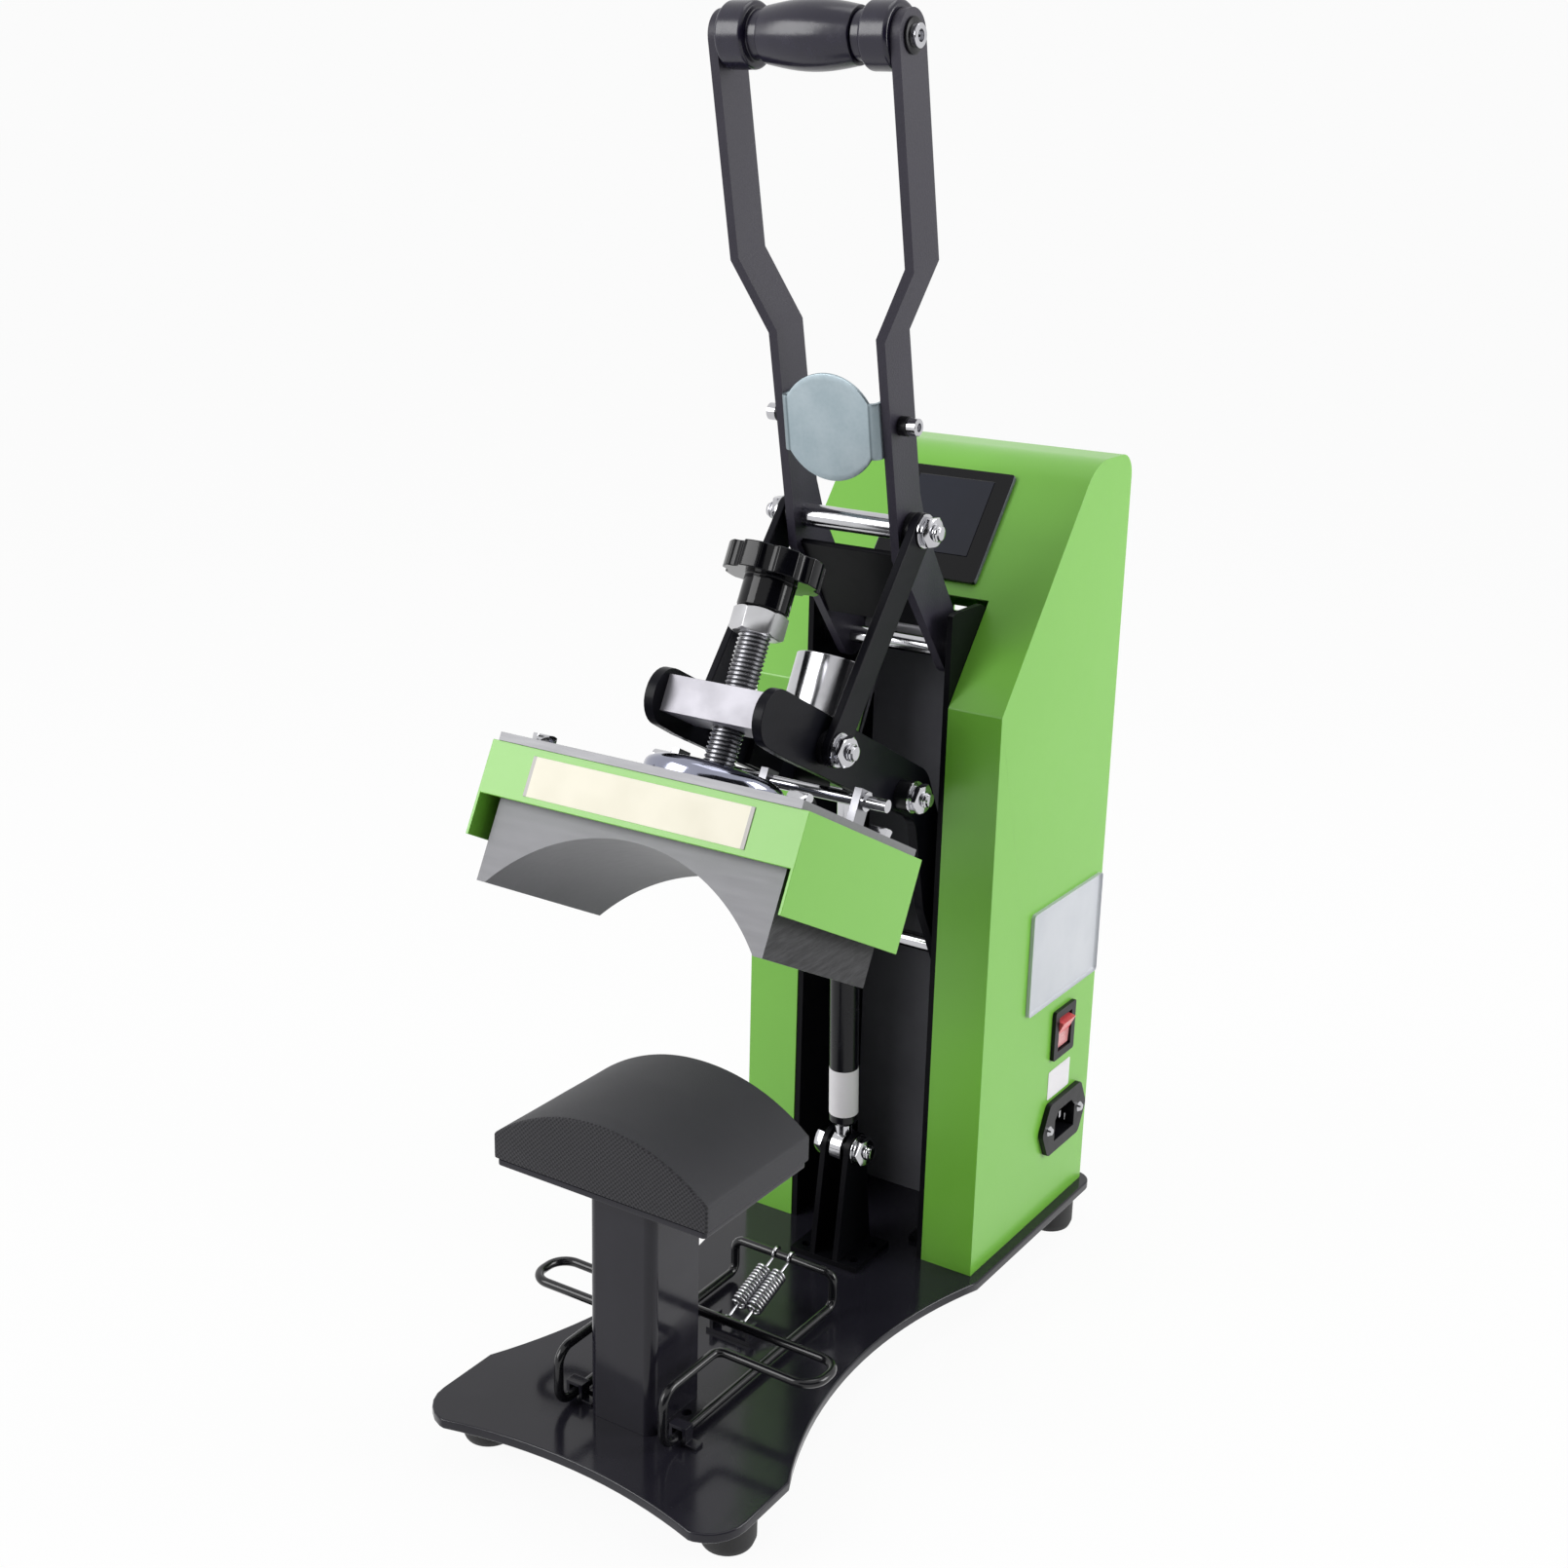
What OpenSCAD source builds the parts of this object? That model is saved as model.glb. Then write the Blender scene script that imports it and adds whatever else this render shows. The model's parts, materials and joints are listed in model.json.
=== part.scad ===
// Cap heat press with a swing-up curved heating head, a toggle handle,
// a gas strut and a sprung wire clamp that holds the cap on the lower pad.
// Front is -Y, up is +Z. The origin is under the middle of the base.

/* [Base] */
// Thickness of the steel base plate
plate_t = 5; // [4:0.5:7]
// Height of the rubber feet
foot_h = 20; // [16:1:24]
// Diameter of a rubber foot
foot_d = 26; // [18:1:27]
// Half width of the waist of the base plate
waist_half = 61; // [56:1:66]
// Half width of the front lobes
lobe_half = 86; // [80:1:92]

/* [Housing] */
// Half width of the sheet metal housing
housing_half = 70; // [68:1:74]
// Sheet thickness of the housing
sheet = 2; // [1.2:0.2:3]
// Half width of the slot that the linkage works in
slot_half = 40.7; // [40.7:0.1:44]
// Size of the square control panel
panel_size = 62; // [54:1:62]

/* [Toggle linkage] */
// Width of a handle bar
bar_w = 22; // [18:1:24]
// Tilt of the handle in the open position, degrees
handle_tilt = 12; // [10:1:13]
// Angle between the open and the closed arm, degrees
open_angle = 27; // [24:1:27]
// Diameter of the three linkage bolts
bolt_d = 8; // [6:1:9]
// Width of a toggle link
link_w = 17; // [14:1:20]

/* [Head and pad] */
// Half length of the curved heating block
block_half = 75; // [72:1:77]
// Radius of the lower pad's crown
pad_r = 91; // [89:1:91]
// Diameter of the pressure screw
screw_d = 15; // [12:1:16]
// Diameter of the pressure knob
knob_d = 45; // [42:1:50]

/* [Wire clamp] */
// Diameter of the clamp wire
wire_d = 4.5; // [3.5:0.5:5]
// Turns of each return spring
spring_turns = 13; // [8:1:14]
// Outer diameter of a return spring
spring_d = 7.6; // [6.5:0.1:8]

/* [Hidden] */
$fn = 48;
// Top face of the base plate
z0 = foot_h + plate_t;
// Pivots as [y, z]: arm hinge, toggle top and rear pivots, strut foot
P = [95, z0 + 160];
T = [30, z0 + 391];
F = [77.5, z0 + 324];
L = [41, z0 + 61];
// Link joint and strut joint on the arm, with the arm level (head closed)
M = [-90, z0 + 226];
S = [-8, z0 + 222];
// Axis of the pressure screw with the arm level
KY = -122.5;
// Rear pivot in the handle's own frame
FL = [(F[0] - T[0]) * cos(handle_tilt) + (F[1] - T[1]) * sin(handle_tilt),
    -(F[0] - T[0]) * sin(handle_tilt) + (F[1] - T[1]) * cos(handle_tilt)];
toggle_a = atan2(FL[0], -FL[1]);
toggle_l = norm(FL);
// Link joint with the arm open
MO = P + turn(M - P, -open_angle);
SO = P + turn(S - P, -open_angle);
strut_a = atan2(-(SO - L)[0], (SO - L)[1]);
strut_l = norm(SO - L);
link_a = atan2(-(T - MO)[0], (T - MO)[1]);
link_l = norm(T - MO);
grip_s = 218;
// Slope of the housing front: start point and angle
slope_y = 56.5;
slope_z = z0 + 301;
slope_a = atan2(111.5, 88);
black = [0.13, 0.13, 0.14];
grey = [0.24, 0.24, 0.26];
green = [0.42, 0.76, 0.24];
steel = [0.78, 0.79, 0.81];
zinc = [0.66, 0.72, 0.76];

function turn(v, a) = [v[0] * cos(a) - v[1] * sin(a), v[0] * sin(a) + v[1] * cos(a)];
function unit(v) = v / norm(v);
// One rounded corner b between a and c, as points of an arc of radius r
function corner(a, b, c, r, n) = r <= 0 ? [b] : let(
        u = unit(a - b), v = unit(c - b), g = acos(u * v), p = b + u * r / tan(g / 2), q = b + v * r / tan(g / 2),
        o = b + unit(u + v) * r / sin(g / 2), s = atan2(p[1] - o[1], p[0] - o[0]),
        d = ((atan2(q[1] - o[1], q[0] - o[0]) - s + 540) % 360) - 180)
    [for (i = [0:n]) o + r * [cos(s + d * i / n), sin(s + d * i / n)]];
// Outline with rounded corners from a list of [x, y, radius]
function rounded(p, n = 6) = [for (i = [0:len(p) - 1]) let(m = len(p), a = p[(i + m - 1) % m], b = p[i], c = p[(i + 1) % m])
    each corner([a[0], a[1]], [b[0], b[1]], [c[0], c[1]], b[2], n)];
// Convex outline moved inwards by t
function inset(p, t) = [for (i = [0:len(p) - 1]) let(m = len(p), a = p[(i + m - 1) % m], b = p[i], c = p[(i + 1) % m],
        u = unit([a[0] - b[0], a[1] - b[1]]), v = unit([c[0] - b[0], c[1] - b[1]]), q = unit(u + v) * t / sin(acos(u * v) / 2))
    [b[0] + q[0], b[1] + q[1], max(b[2] - t, 0)]];

// Arm frame: parts are drawn with the arm level and swung up to the open position
module on_arm() translate([0, P[0], P[1]]) rotate([-open_angle, 0, 0]) translate([0, -P[0], -P[1]]) children();
// Handle frame: origin on the top pivot, z along the bars
module on_handle() translate([0, T[0], T[1]]) rotate([handle_tilt, 0, 0]) children();
// Frame on the top pivot with -z towards the rear pivot
module on_toggle() on_handle() rotate([toggle_a, 0, 0]) children();
// Frame on the strut foot with z along the strut
module on_strut() translate([0, L[0], L[1]]) rotate([strut_a, 0, 0]) children();
// Frame on the link joint with z towards the top pivot
module on_link() translate([0, MO[0], MO[1]]) rotate([link_a, 0, 0]) children();
// Frame on the sloping housing front: y runs up the slope, z points out
module on_slope(s) translate([0, slope_y + s * cos(slope_a), slope_z + s * sin(slope_a)]) rotate([slope_a, 0, 0]) children();
// Extrudes a [y, z] outline along x
module along_x(x0, x1) translate([x0, 0, 0]) rotate([90, 0, 90]) linear_extrude(height = x1 - x0) children();
// Extrudes an [x, z] outline along y
module along_y(y0, y1) translate([0, y1, 0]) rotate([90, 0, 0]) linear_extrude(height = y1 - y0) children();
module rod_x(d, x0, x1, p) translate([x0, p[0], p[1]]) rotate([0, 90, 0]) cylinder(d = d, h = x1 - x0);
module hex_x(af, x0, x1, p) translate([x0, p[0], p[1]]) rotate([0, 90, 0]) cylinder(d = af / cos(30), h = x1 - x0, $fn = 6);
module both_sides() {
    children();
    mirror([1, 0, 0]) children();
}
// Nut with its washer and the domed bolt end on the right side of a joint
module nut_end(x, p, af = 13) {
    rod_x(af + 3, x, x + 1, p);
    hex_x(af, x + 1, x + 6, p);
    rod_x(bolt_d, x + 6, x + 8.5, p);
}
// Tube of radius r along a path, carried along with a steady twist
function ring(p, d, u, r, n) = let(a = unit(u - (u * d) * d), b = cross(d, a)) [for (k = [0:n - 1]) p + r * cos(360 * k / n) * a + r * sin(360 * k / n) * b];
module tube(path, ups, r, n) {
    m = len(path);
    dir = [for (i = [0:m - 1]) unit(path[min(i + 1, m - 1)] - path[max(i - 1, 0)])];
    pts = [for (i = [0:m - 1]) each ring(path[i], dir[i], ups[i], r, n)];
    sides = [for (i = [0:m - 2]) for (k = [0:n - 1]) let(a = i * n + k, b = i * n + (k + 1) % n) each [[a, a + n, b], [b, a + n, b + n]]];
    first = [for (k = [1:n - 2]) [0, k, k + 1]];
    last = [for (k = [1:n - 2]) [(m - 1) * n, (m - 1) * n + k + 1, (m - 1) * n + k]];
    polyhedron(points = pts, faces = concat(sides, first, last), convexity = 6);
}

// ---- Base ----
module base_outline() {
    difference() {
        union() {
            polygon(rounded([[-lobe_half, -193.5, 20], [lobe_half, -193.5, 20], [lobe_half, -20, 0], [-lobe_half, -20, 0]]));
            polygon(rounded([[-76, -40, 0], [76, -40, 0], [76, 193.5, 10], [-76, 193.5, 10]]));
        }
        translate([0, -193.5 - 240]) circle(r = 250, $fn = 180);
        both_sides() translate([waist_half + 250, -31.5]) circle(r = 250, $fn = 180);
        translate([-120, -30]) square([44, 50]);
        translate([76, -30]) square([44, 50]);
    }
}
module base_plate() color(black) translate([0, 0, foot_h]) linear_extrude(height = plate_t) base_outline();
module rubber_feet() color([0.1, 0.1, 0.1]) for (p = [[68, -161.5], [60, 171.5]]) both_sides() translate([p[0], p[1], 0]) {
    cylinder(d1 = foot_d - 3, d2 = foot_d, h = 4);
    translate([0, 0, 4]) cylinder(d = foot_d, h = foot_h - 4);
}
// Folded channel, open at the back, that carries the lower pad
module pedestal_post() color(black) {
    difference() {
        translate([0, 0, z0]) linear_extrude(height = 119) difference() {
            polygon(rounded([[-18, -150.5, 5], [18, -150.5, 5], [18, -114.5, 0], [-18, -114.5, 0]]));
            polygon(rounded([[-15, -147.5, 2], [15, -147.5, 2], [15, -110, 0], [-15, -110, 0]]));
        }
    }
    both_sides() translate([15, -140, z0]) difference() {
        cube([11, 24, 3]);
        translate([6.5, 12, -1]) cylinder(d = 5, h = 5);
    }
    translate([-30, -158, z0 + 119]) cube([60, 58, 3]);
}
module lower_platen() color(grey) translate([0, 0, z0 + 122]) linear_extrude(height = 3)
    polygon(rounded([[-56.8, -166, 2], [56.8, -166, 2], [56.8, -87, 2], [-56.8, -87, 2]]));
// Silicone pad with its crown across the width and softened long edges
module lower_pad() color([0.2, 0.2, 0.21]) intersection() {
    along_y(-166.5, -86.5) intersection() {
        translate([0, z0 + 158.4 - pad_r]) circle(r = pad_r, $fn = 180);
        translate([-58, z0 + 125.2]) square([116, 60]);
    }
    along_x(-60, 60) polygon(rounded([[-166.5, z0 + 125.2, 1.5], [-86.5, z0 + 125.2, 1.5], [-86.5, z0 + 158.6, 2.5], [-166.5, z0 + 158.6, 2.5]]));
}

// ---- Wire clamp ----
clamp_x = 29.5;
clamp_z = z0 + 4;
hinge_y = -143.5;
// Right half of the wire as [x, y, z, bend radius], from the raised rear bar round the hoop to the ear
clamp_pts = [[0, -14, z0 + 22, 0], [clamp_x, -14, z0 + 22, 5], [clamp_x, -14, clamp_z, 5], [clamp_x, -157.5, clamp_z, 8],
    [clamp_x, -157.5, z0 + 32, 8], [clamp_x, -115, z0 + 32, 5], [81, -115, z0 + 31.5, 10], [81, -91.5, z0 + 31, 10], [0, -91.5, z0 + 31, 0]];
function p3(q) = [q[0], q[1], q[2]];
function bend3(a, b, c, r, n) = r <= 0 ? [b] : let(u = unit(a - b), v = unit(c - b), g = acos(u * v), t = r / tan(g / 2), o = b + unit(u + v) * r / sin(g / 2),
        p = b + u * t - o, q = b + v * t - o, h = 180 - g)
    [for (i = [0:n]) o + (p * sin(h - h * i / n) + q * sin(h * i / n)) / sin(h)];
function half_wire() = [for (i = [0:len(clamp_pts) - 1]) let(m = len(clamp_pts))
    each bend3(p3(clamp_pts[max(i - 1, 0)]), p3(clamp_pts[i]), p3(clamp_pts[min(i + 1, m - 1)]), clamp_pts[i][3], 5)];
// Carries a side vector along the path so that the tube doesn't twist
function carry(d, u) = [for (i = 0, a = u; i < len(d); i = i + 1, a = i < len(d) ? unit(a - (a * d[i]) * d[i]) : a) a];
module closed_tube(path, up, r, n) {
    m = len(path);
    dir = [for (i = [0:m - 1]) unit(path[(i + 1) % m] - path[(i + m - 1) % m])];
    ups = carry(dir, up);
    end = carry([dir[m - 1], dir[0]], ups[m - 1])[1];
    side = cross(dir[0], ups[0]);
    twist = atan2(end * side, end * ups[0]);
    pts = [for (i = [0:m - 1]) let(a = ups[i], b = cross(dir[i], a), w = -twist * i / m) each
        [for (k = [0:n - 1]) path[i] + r * (cos(360 * k / n + w) * a + sin(360 * k / n + w) * b)]];
    polyhedron(points = pts, faces = [for (i = [0:m - 1]) for (k = [0:n - 1]) let(j = (i + 1) % m, e = (k + 1) % n)
        each [[i * n + k, j * n + k, i * n + e], [i * n + e, j * n + k, j * n + e]]], convexity = 8);
}
module clamp_wire() color([0.16, 0.16, 0.17]) {
    h = half_wire();
    m = len(h);
    loop = concat(h, [for (i = [1:m - 2]) [-h[m - 1 - i][0], h[m - 1 - i][1], h[m - 1 - i][2]]]);
    closed_tube(loop, [0, 0, 1], wire_d / 2, 10);
}
// Saddle clips that the wire rocks in
module clamp_clips() color(black) both_sides() translate([clamp_x, hinge_y, z0]) {
    difference() {
        translate([-wire_d / 2 - 2.4, -3, 0]) cube([wire_d + 4.8, 6, 9.2]);
        translate([-wire_d / 2 - 0.4, -4, -1]) cube([wire_d + 0.8, 8, 8.4]);
    }
    for (s = [-1, 1]) translate([s * (wire_d / 2 + 5), 0, 0]) {
        translate([-3, -3, 0]) cube([6, 6, 1.6]);
    }
}
anchor_y = -58.5;
anchor_z = z0 + 6;
bar_y = -14;
bar_z = z0 + 22;
spring_wire = 1.1;
spring_r = (spring_d - spring_wire) / 2;
// Path of one return spring: hook, straight neck, coil, straight neck, hook
function spring_path() = let(a = [anchor_y, anchor_z], b = [bar_y, bar_z], d = unit(b - a), n = [-d[1], d[0]], len = norm(b - a),
        ra = 1.5 + spring_wire / 2 + 0.35, rb = wire_d / 2 + spring_wire / 2 + 0.35, s0 = 9, s1 = len - 9)
    concat(
        [for (k = [0:4]) let(t = 200 - 50 * k, q = a + d * ra * cos(t) + n * ra * sin(t)) [0, q[0], q[1]]],
        [for (k = [1:2]) let(q = a + d * (ra + (s0 - 1.8 - ra) * k / 2)) [0, q[0], q[1]]],
        [for (i = [0:spring_turns * 8]) let(t = 360 * i / 8, w = min(1, min(i, spring_turns * 8 - i) / 4), s = s0 + (s1 - s0) * i / (spring_turns * 8),
            q = a + d * s + n * spring_r * w * sin(t)) [spring_r * w * cos(t), q[0], q[1]]],
        [for (k = [1:2]) let(q = a + d * (s1 + 1.8 + (len - rb - s1 - 1.8) * (k - 1) / 2)) [0, q[0], q[1]]],
        [for (k = [0:4]) let(t = 180 - 50 * k, q = b + d * rb * cos(t) + n * rb * sin(t)) [0, q[0], q[1]]]);
// Least distance between two turns of the coil, less the wire
function coil_gap(p) = min([for (i = [7:len(p) - 16]) for (j = [i + 5:min(i + 11, len(p) - 8)]) norm(p[i] - p[j])]) - spring_wire;
echo(spring_gap = coil_gap(spring_path()));
module clamp_springs() color(steel) for (x = [-5.2, 5.2]) translate([x, 0, 0]) {
    p = spring_path();
    m = len(p);
    dir = [for (i = [0:m - 1]) unit(p[min(i + 1, m - 1)] - p[max(i - 1, 0)])];
    tube(p, carry(dir, [1, 0.01, 0]), spring_wire / 2, 6);
}
module spring_anchors() color(steel) translate([0, anchor_y, z0]) {
    difference() {
        union() {
            translate([-13, -5, 0]) cube([26, 10, 2]);
            for (x = [-11.6, 9.6]) translate([x, -4, 0]) cube([2, 8, 8.5]);
        }
        rod_x(3, -20, 20, [0, 6]);
    }
    rod_x(3, -12.4, 12.4, [0, 6]);
}

// ---- Housing ----
housing_pts = [[slope_y, z0, 0], [slope_y, slope_z, 2], [slope_y + 88, z0 + 412.5, 28], [187.5, z0 + 412.5, 12], [187.5, z0, 0]];
module housing_shell() color(green) difference() {
    along_x(-housing_half, housing_half) polygon(rounded(housing_pts, 8));
    along_x(-housing_half + sheet, housing_half - sheet) polygon(rounded(inset([[slope_y, z0 - 10, 0], [slope_y, slope_z, 2],
        [slope_y + 88, z0 + 412.5, 28], [187.5, z0 + 412.5, 12], [187.5, z0 - 10, 0]], sheet), 8));
    // Rear opening behind the top fold
    translate([-housing_half + sheet, 180, z0 - 1]) cube([2 * (housing_half - sheet), 20, 399]);
    // Slot for the linkage, up into the slope
    translate([-slot_half, 40, z0 - 1]) cube([2 * slot_half, 55, 348.5]);
    // Window behind the control panel
    on_slope(97.2) translate([-27, -27, -8]) cube([54, 54, 16]);
    // Cut-outs of the switch and the inlet
    translate([housing_half - 6, 138.5, z0 + 93.5]) cube([12, 20.5, 25]);
    translate([housing_half - 6, 140, z0 + 39.5]) cube([12, 29, 23]);
    for (y = [136, 173]) rod_x(3.2, housing_half - 6, housing_half + 6, [y, z0 + 51]);
}
// Rear cover with two fields of louvre slots
module back_cover() color(green) difference() {
    translate([0, 187.2, 0]) rotate([90, 0, 0]) linear_extrude(height = 1.6)
        polygon(rounded([[-67.8, z0 + 0.3, 0], [67.8, z0 + 0.3, 0], [67.8, z0 + 397.4, 3], [-67.8, z0 + 397.4, 3]]));
    for (i = [0:7]) for (z = [60, 300]) translate([-28, 180, z0 + z + 8 * i]) cube([56, 10, 3]);
    for (x = [-60, 60]) for (z = [20, 200, 385]) translate([x, 190, z0 + z]) rotate([90, 0, 0]) cylinder(d = 3.4, h = 8);
}
module housing_screws() color(steel) for (x = [-60, 60]) for (z = [20, 200, 385]) translate([x, 187.2, z0 + z]) {
    rotate([90, 0, 0]) cylinder(d = 3.2, h = 7);
    rotate([-90, 0, 0]) cylinder(d1 = 7, d2 = 5, h = 1.8);
}
module control_panel() color([0.08, 0.08, 0.1]) on_slope(97.2) difference() {
    union() {
        linear_extrude(height = 2.4) translate([-panel_size / 2, -panel_size / 2]) polygon(rounded([[0, 0, 2], [panel_size, 0, 2],
            [panel_size, panel_size, 2], [0, panel_size, 2]]));
        translate([-26.6, -26.6, -12]) cube([53.2, 53.2, 12]);
    }
    translate([-21.2, -17.2, 1.2]) cube([42.4, 42.4, 5]);
    translate([-24, -24, -13]) cube([48, 48, 11]);
}
module display_glass() color([0.2, 0.21, 0.28]) on_slope(97.2) translate([-21.2, -17.2, 1.2]) cube([42.4, 42.4, 1.35]);
module control_board() color([0.1, 0.35, 0.2]) on_slope(97.2) {
    translate([-23.6, -23.6, -9]) cube([47.2, 47.2, 1.6]);
    for (x = [-14, 6]) translate([x, -12, -13]) cube([8, 20, 4]);
}
rocker_x = housing_half - 2;
module switch_bezel() color([0.09, 0.09, 0.1]) difference() {
    union() {
        translate([housing_half, 0, 0]) along_x(0, 2.2) polygon(rounded([[136.5, z0 + 91.5, 1.5], [161, z0 + 91.5, 1.5], [161, z0 + 120, 1.5], [136.5, z0 + 120, 1.5]]));
        translate([housing_half - 22, 138.8, z0 + 93.8]) cube([23, 19.9, 24.4]);
    }
    difference() {
        translate([housing_half - 12, 141.2, z0 + 95.9]) cube([20, 15.1, 19.7]);
        translate([rocker_x, 141, z0 + 105.75]) rotate([-90, 0, 0]) cylinder(d = 2, h = 16);
    }
}
// Rocker with a hollow back; its top half is proud and its lower half is pressed in
module rocker_switch() color([0.85, 0.2, 0.18]) translate([rocker_x, 148.75, z0 + 105.75]) rotate([0, 14, 0]) difference() {
    translate([0, 7.3, 0]) rotate([90, 0, 0]) linear_extrude(height = 14.6) polygon([[-2, -8.2], [4.8, -8.2], [3.2, 0], [4.8, 8.2], [-2, 8.2]]);
    translate([0, -9, 0]) rotate([-90, 0, 0]) cylinder(d = 2.1, h = 18);
}
inlet_y = 154.5;
inlet_z = z0 + 51;
module power_inlet() color([0.1, 0.1, 0.11]) translate([0, inlet_y, inlet_z]) {
    difference() {
        union() {
            along_x(housing_half, housing_half + 3) polygon(rounded([[-27, 0, 5], [-19, -15.5, 4], [19, -15.5, 4], [27, 0, 5], [19, 15.5, 4], [-19, 15.5, 4]]));
            translate([housing_half - 18, -14, -11]) cube([19, 28, 22]);
        }
        along_x(housing_half - 13, housing_half + 6) polygon([[-12, -8.5], [12, -8.5], [12, 4], [7.5, 8.5], [-7.5, 8.5], [-12, 4]]);
        for (y = [-18.5, 18.5]) rod_x(3.2, housing_half - 2, housing_half + 6, [y, 0]);
    }
    color(steel) for (p = [[-7, -2], [0, 2], [7, -2]]) translate([housing_half - 14, p[0] - 1, p[1] - 2]) cube([14, 2, 4]);
}
module inlet_screws() color(steel) for (y = [-18.5, 18.5]) {
    rod_x(3.2, housing_half - 6, housing_half + 3, [inlet_y + y, inlet_z]);
    translate([housing_half + 3, inlet_y + y, inlet_z]) rotate([0, 90, 0]) cylinder(d1 = 5.8, d2 = 3.6, h = 1.6);
}

// ---- Inner frame ----
frame_x = 37.5;
plate_screws = [[86, z0 + 124.5], [68.5, z0 + 324]];
module frame_plate(side) mirror([side < 0 ? 1 : 0, 0, 0]) {
    difference() {
        along_x(frame_x, frame_x + 3) polygon(rounded([[57, z0, 0], [57, z0 + 346, 0], [60, z0 + 347, 0], [86, z0 + 347, 0], [122, z0 + 330, 12], [122, z0, 0]]));
        rod_x(9, frame_x - 5, frame_x + 9, P);
        rod_x(8, frame_x - 5, frame_x + 9, [111.5, z0 + 322]);
        for (q = plate_screws) rod_x(4, frame_x - 5, frame_x + 9, q);
    }
    translate([frame_x - 12, 70, z0]) cube([12.2, 44, 3]);
    for (q = plate_screws) {
        rod_x(4, frame_x - 1, frame_x + 3, q);
        rod_x(7, frame_x - 2.4, frame_x, q);
    }
}
module frame_plate_left() color(black) frame_plate(-1);
module frame_plate_right() color(black) frame_plate(1);
module frame_back() color(black) translate([-frame_x, 119, z0]) cube([2 * frame_x, 3, 318]);
module spacer_rod() color(grey) {
    rod_x(8, -frame_x - 3, frame_x + 3, [111.5, z0 + 322]);
    both_sides() hex_x(10, frame_x + 3, frame_x + 7, [111.5, z0 + 322]);
}
module arm_pivot_rod() color(steel) {
    rod_x(9, -frame_x - 3, frame_x + 3, P);
    both_sides() {
        hex_x(13, frame_x + 3, frame_x + 9, P);
        difference() {
            rod_x(14, 31.4, frame_x, P);
            rod_x(9, 31, frame_x + 1, P);
        }
    }
}

// ---- Gas strut ----
module strut_bracket() color(black) {
    difference() {
        both_sides() along_x(5.4, 8.4) union() {
            polygon([[24, z0], [58, z0], [L[0] + 8.4, L[1] + 3], [L[0] - 8.4, L[1] + 3]]);
            translate(L) circle(r = 9);
        }
        rod_x(bolt_d, -12, 12, L);
    }
    difference() {
        translate([-20, 24, z0]) cube([40, 34, 3]);
        for (x = [-14.5, 14.5]) for (y = [31, 50]) translate([x, y, z0 - 1]) cylinder(d = 5, h = 6);
    }
}
module strut_bolt() color(steel) {
    rod_x(bolt_d, -8.4, 8.4, L);
    hex_x(13, -14, -8.4, L);
    nut_end(8.4, L);
}
module strut_cylinder() color([0.16, 0.16, 0.17]) on_strut() difference() {
    union() {
        color(steel) intersection() {
            rod_x(18, -3.2, 3.2, [0, 0]);
            translate([-4, -9, -9]) cube([8, 18, 18]);
        }
        color(steel) translate([0, 0, 6]) cylinder(d = 9, h = 10);
        translate([0, 0, 14]) cylinder(d1 = 12, d2 = 15, h = 2);
        translate([0, 0, 16]) cylinder(d = 15, h = 108);
        translate([0, 0, 124]) cylinder(d1 = 15, d2 = 12, h = 2);
    }
    rod_x(bolt_d + 0.1, -9, 9, [0, 0]);
    translate([0, 0, 66]) cylinder(d = 6.1, h = 70);
}
module strut_rod() color(steel) on_strut() difference() {
    union() {
        translate([0, 0, 104]) cylinder(d = 6, h = strut_l - 104 - 9);
        translate([0, 0, strut_l - 20]) cylinder(d = 9, h = 13);
        rod_x(19, -3.5, 3.5, [0, strut_l]);
    }
    rod_x(bolt_d + 3.2, -9, 9, [0, strut_l]);
}

// ---- Arm ----
arm_x0 = 26;
arm_x1 = 31;
module arm_plate(side) mirror([side < 0 ? 1 : 0, 0, 0]) difference() {
    along_x(arm_x0, arm_x1) union() {
        polygon(rounded([[-148, z0 + 241, 12.8], [-148, z0 + 215, 12.8], [-120, z0 + 213.5, 0], [13, z0 + 213.5, 14], [47, z0 + 174, 20], [86, z0 + 148, 0],
            [104, z0 + 172, 0], [12, z0 + 238.5, 20]], 8));
        translate(P) circle(r = 15);
    }
    rod_x(9.1, arm_x0 - 5, arm_x1 + 5, P);
    rod_x(bolt_d, arm_x0 - 5, arm_x1 + 5, M);
    rod_x(bolt_d, arm_x0 - 5, arm_x1 + 5, S);
    for (y = [-134, -118]) rod_x(6, arm_x0 - 5, arm_x0 + 3.2, [y, z0 + 228]);
}
module arm_plate_left() color(grey) on_arm() arm_plate(-1);
module arm_plate_right() color(grey) on_arm() arm_plate(1);
// Solid bar between the arm plates, threaded for the pressure screw
module arm_crossbar() color([0.8, 0.8, 0.84]) on_arm() {
    difference() {
        translate([-arm_x0, -140.5, z0 + 220.6]) cube([2 * arm_x0, 30, 16.8]);
        translate([0, KY, z0 + 210]) cylinder(d = screw_d + 0.1, h = 40);
    }
    both_sides() for (y = [-134, -118]) rod_x(6, arm_x0 - 0.2, arm_x0 + 3.2, [y, z0 + 228]);
}
module strut_top_bolt() on_arm() {
    color(steel) rod_x(bolt_d, -38, 38, S);
    color(black) both_sides() difference() {
        rod_x(15, arm_x1, 38, S);
        rod_x(bolt_d, arm_x1 - 1, 39, S);
    }
    color(steel) both_sides() nut_end(38, S);
    color(black) both_sides() difference() {
        rod_x(13, 4.2, arm_x0, S);
        rod_x(bolt_d, 4, arm_x0 + 1, S);
    }
}
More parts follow.
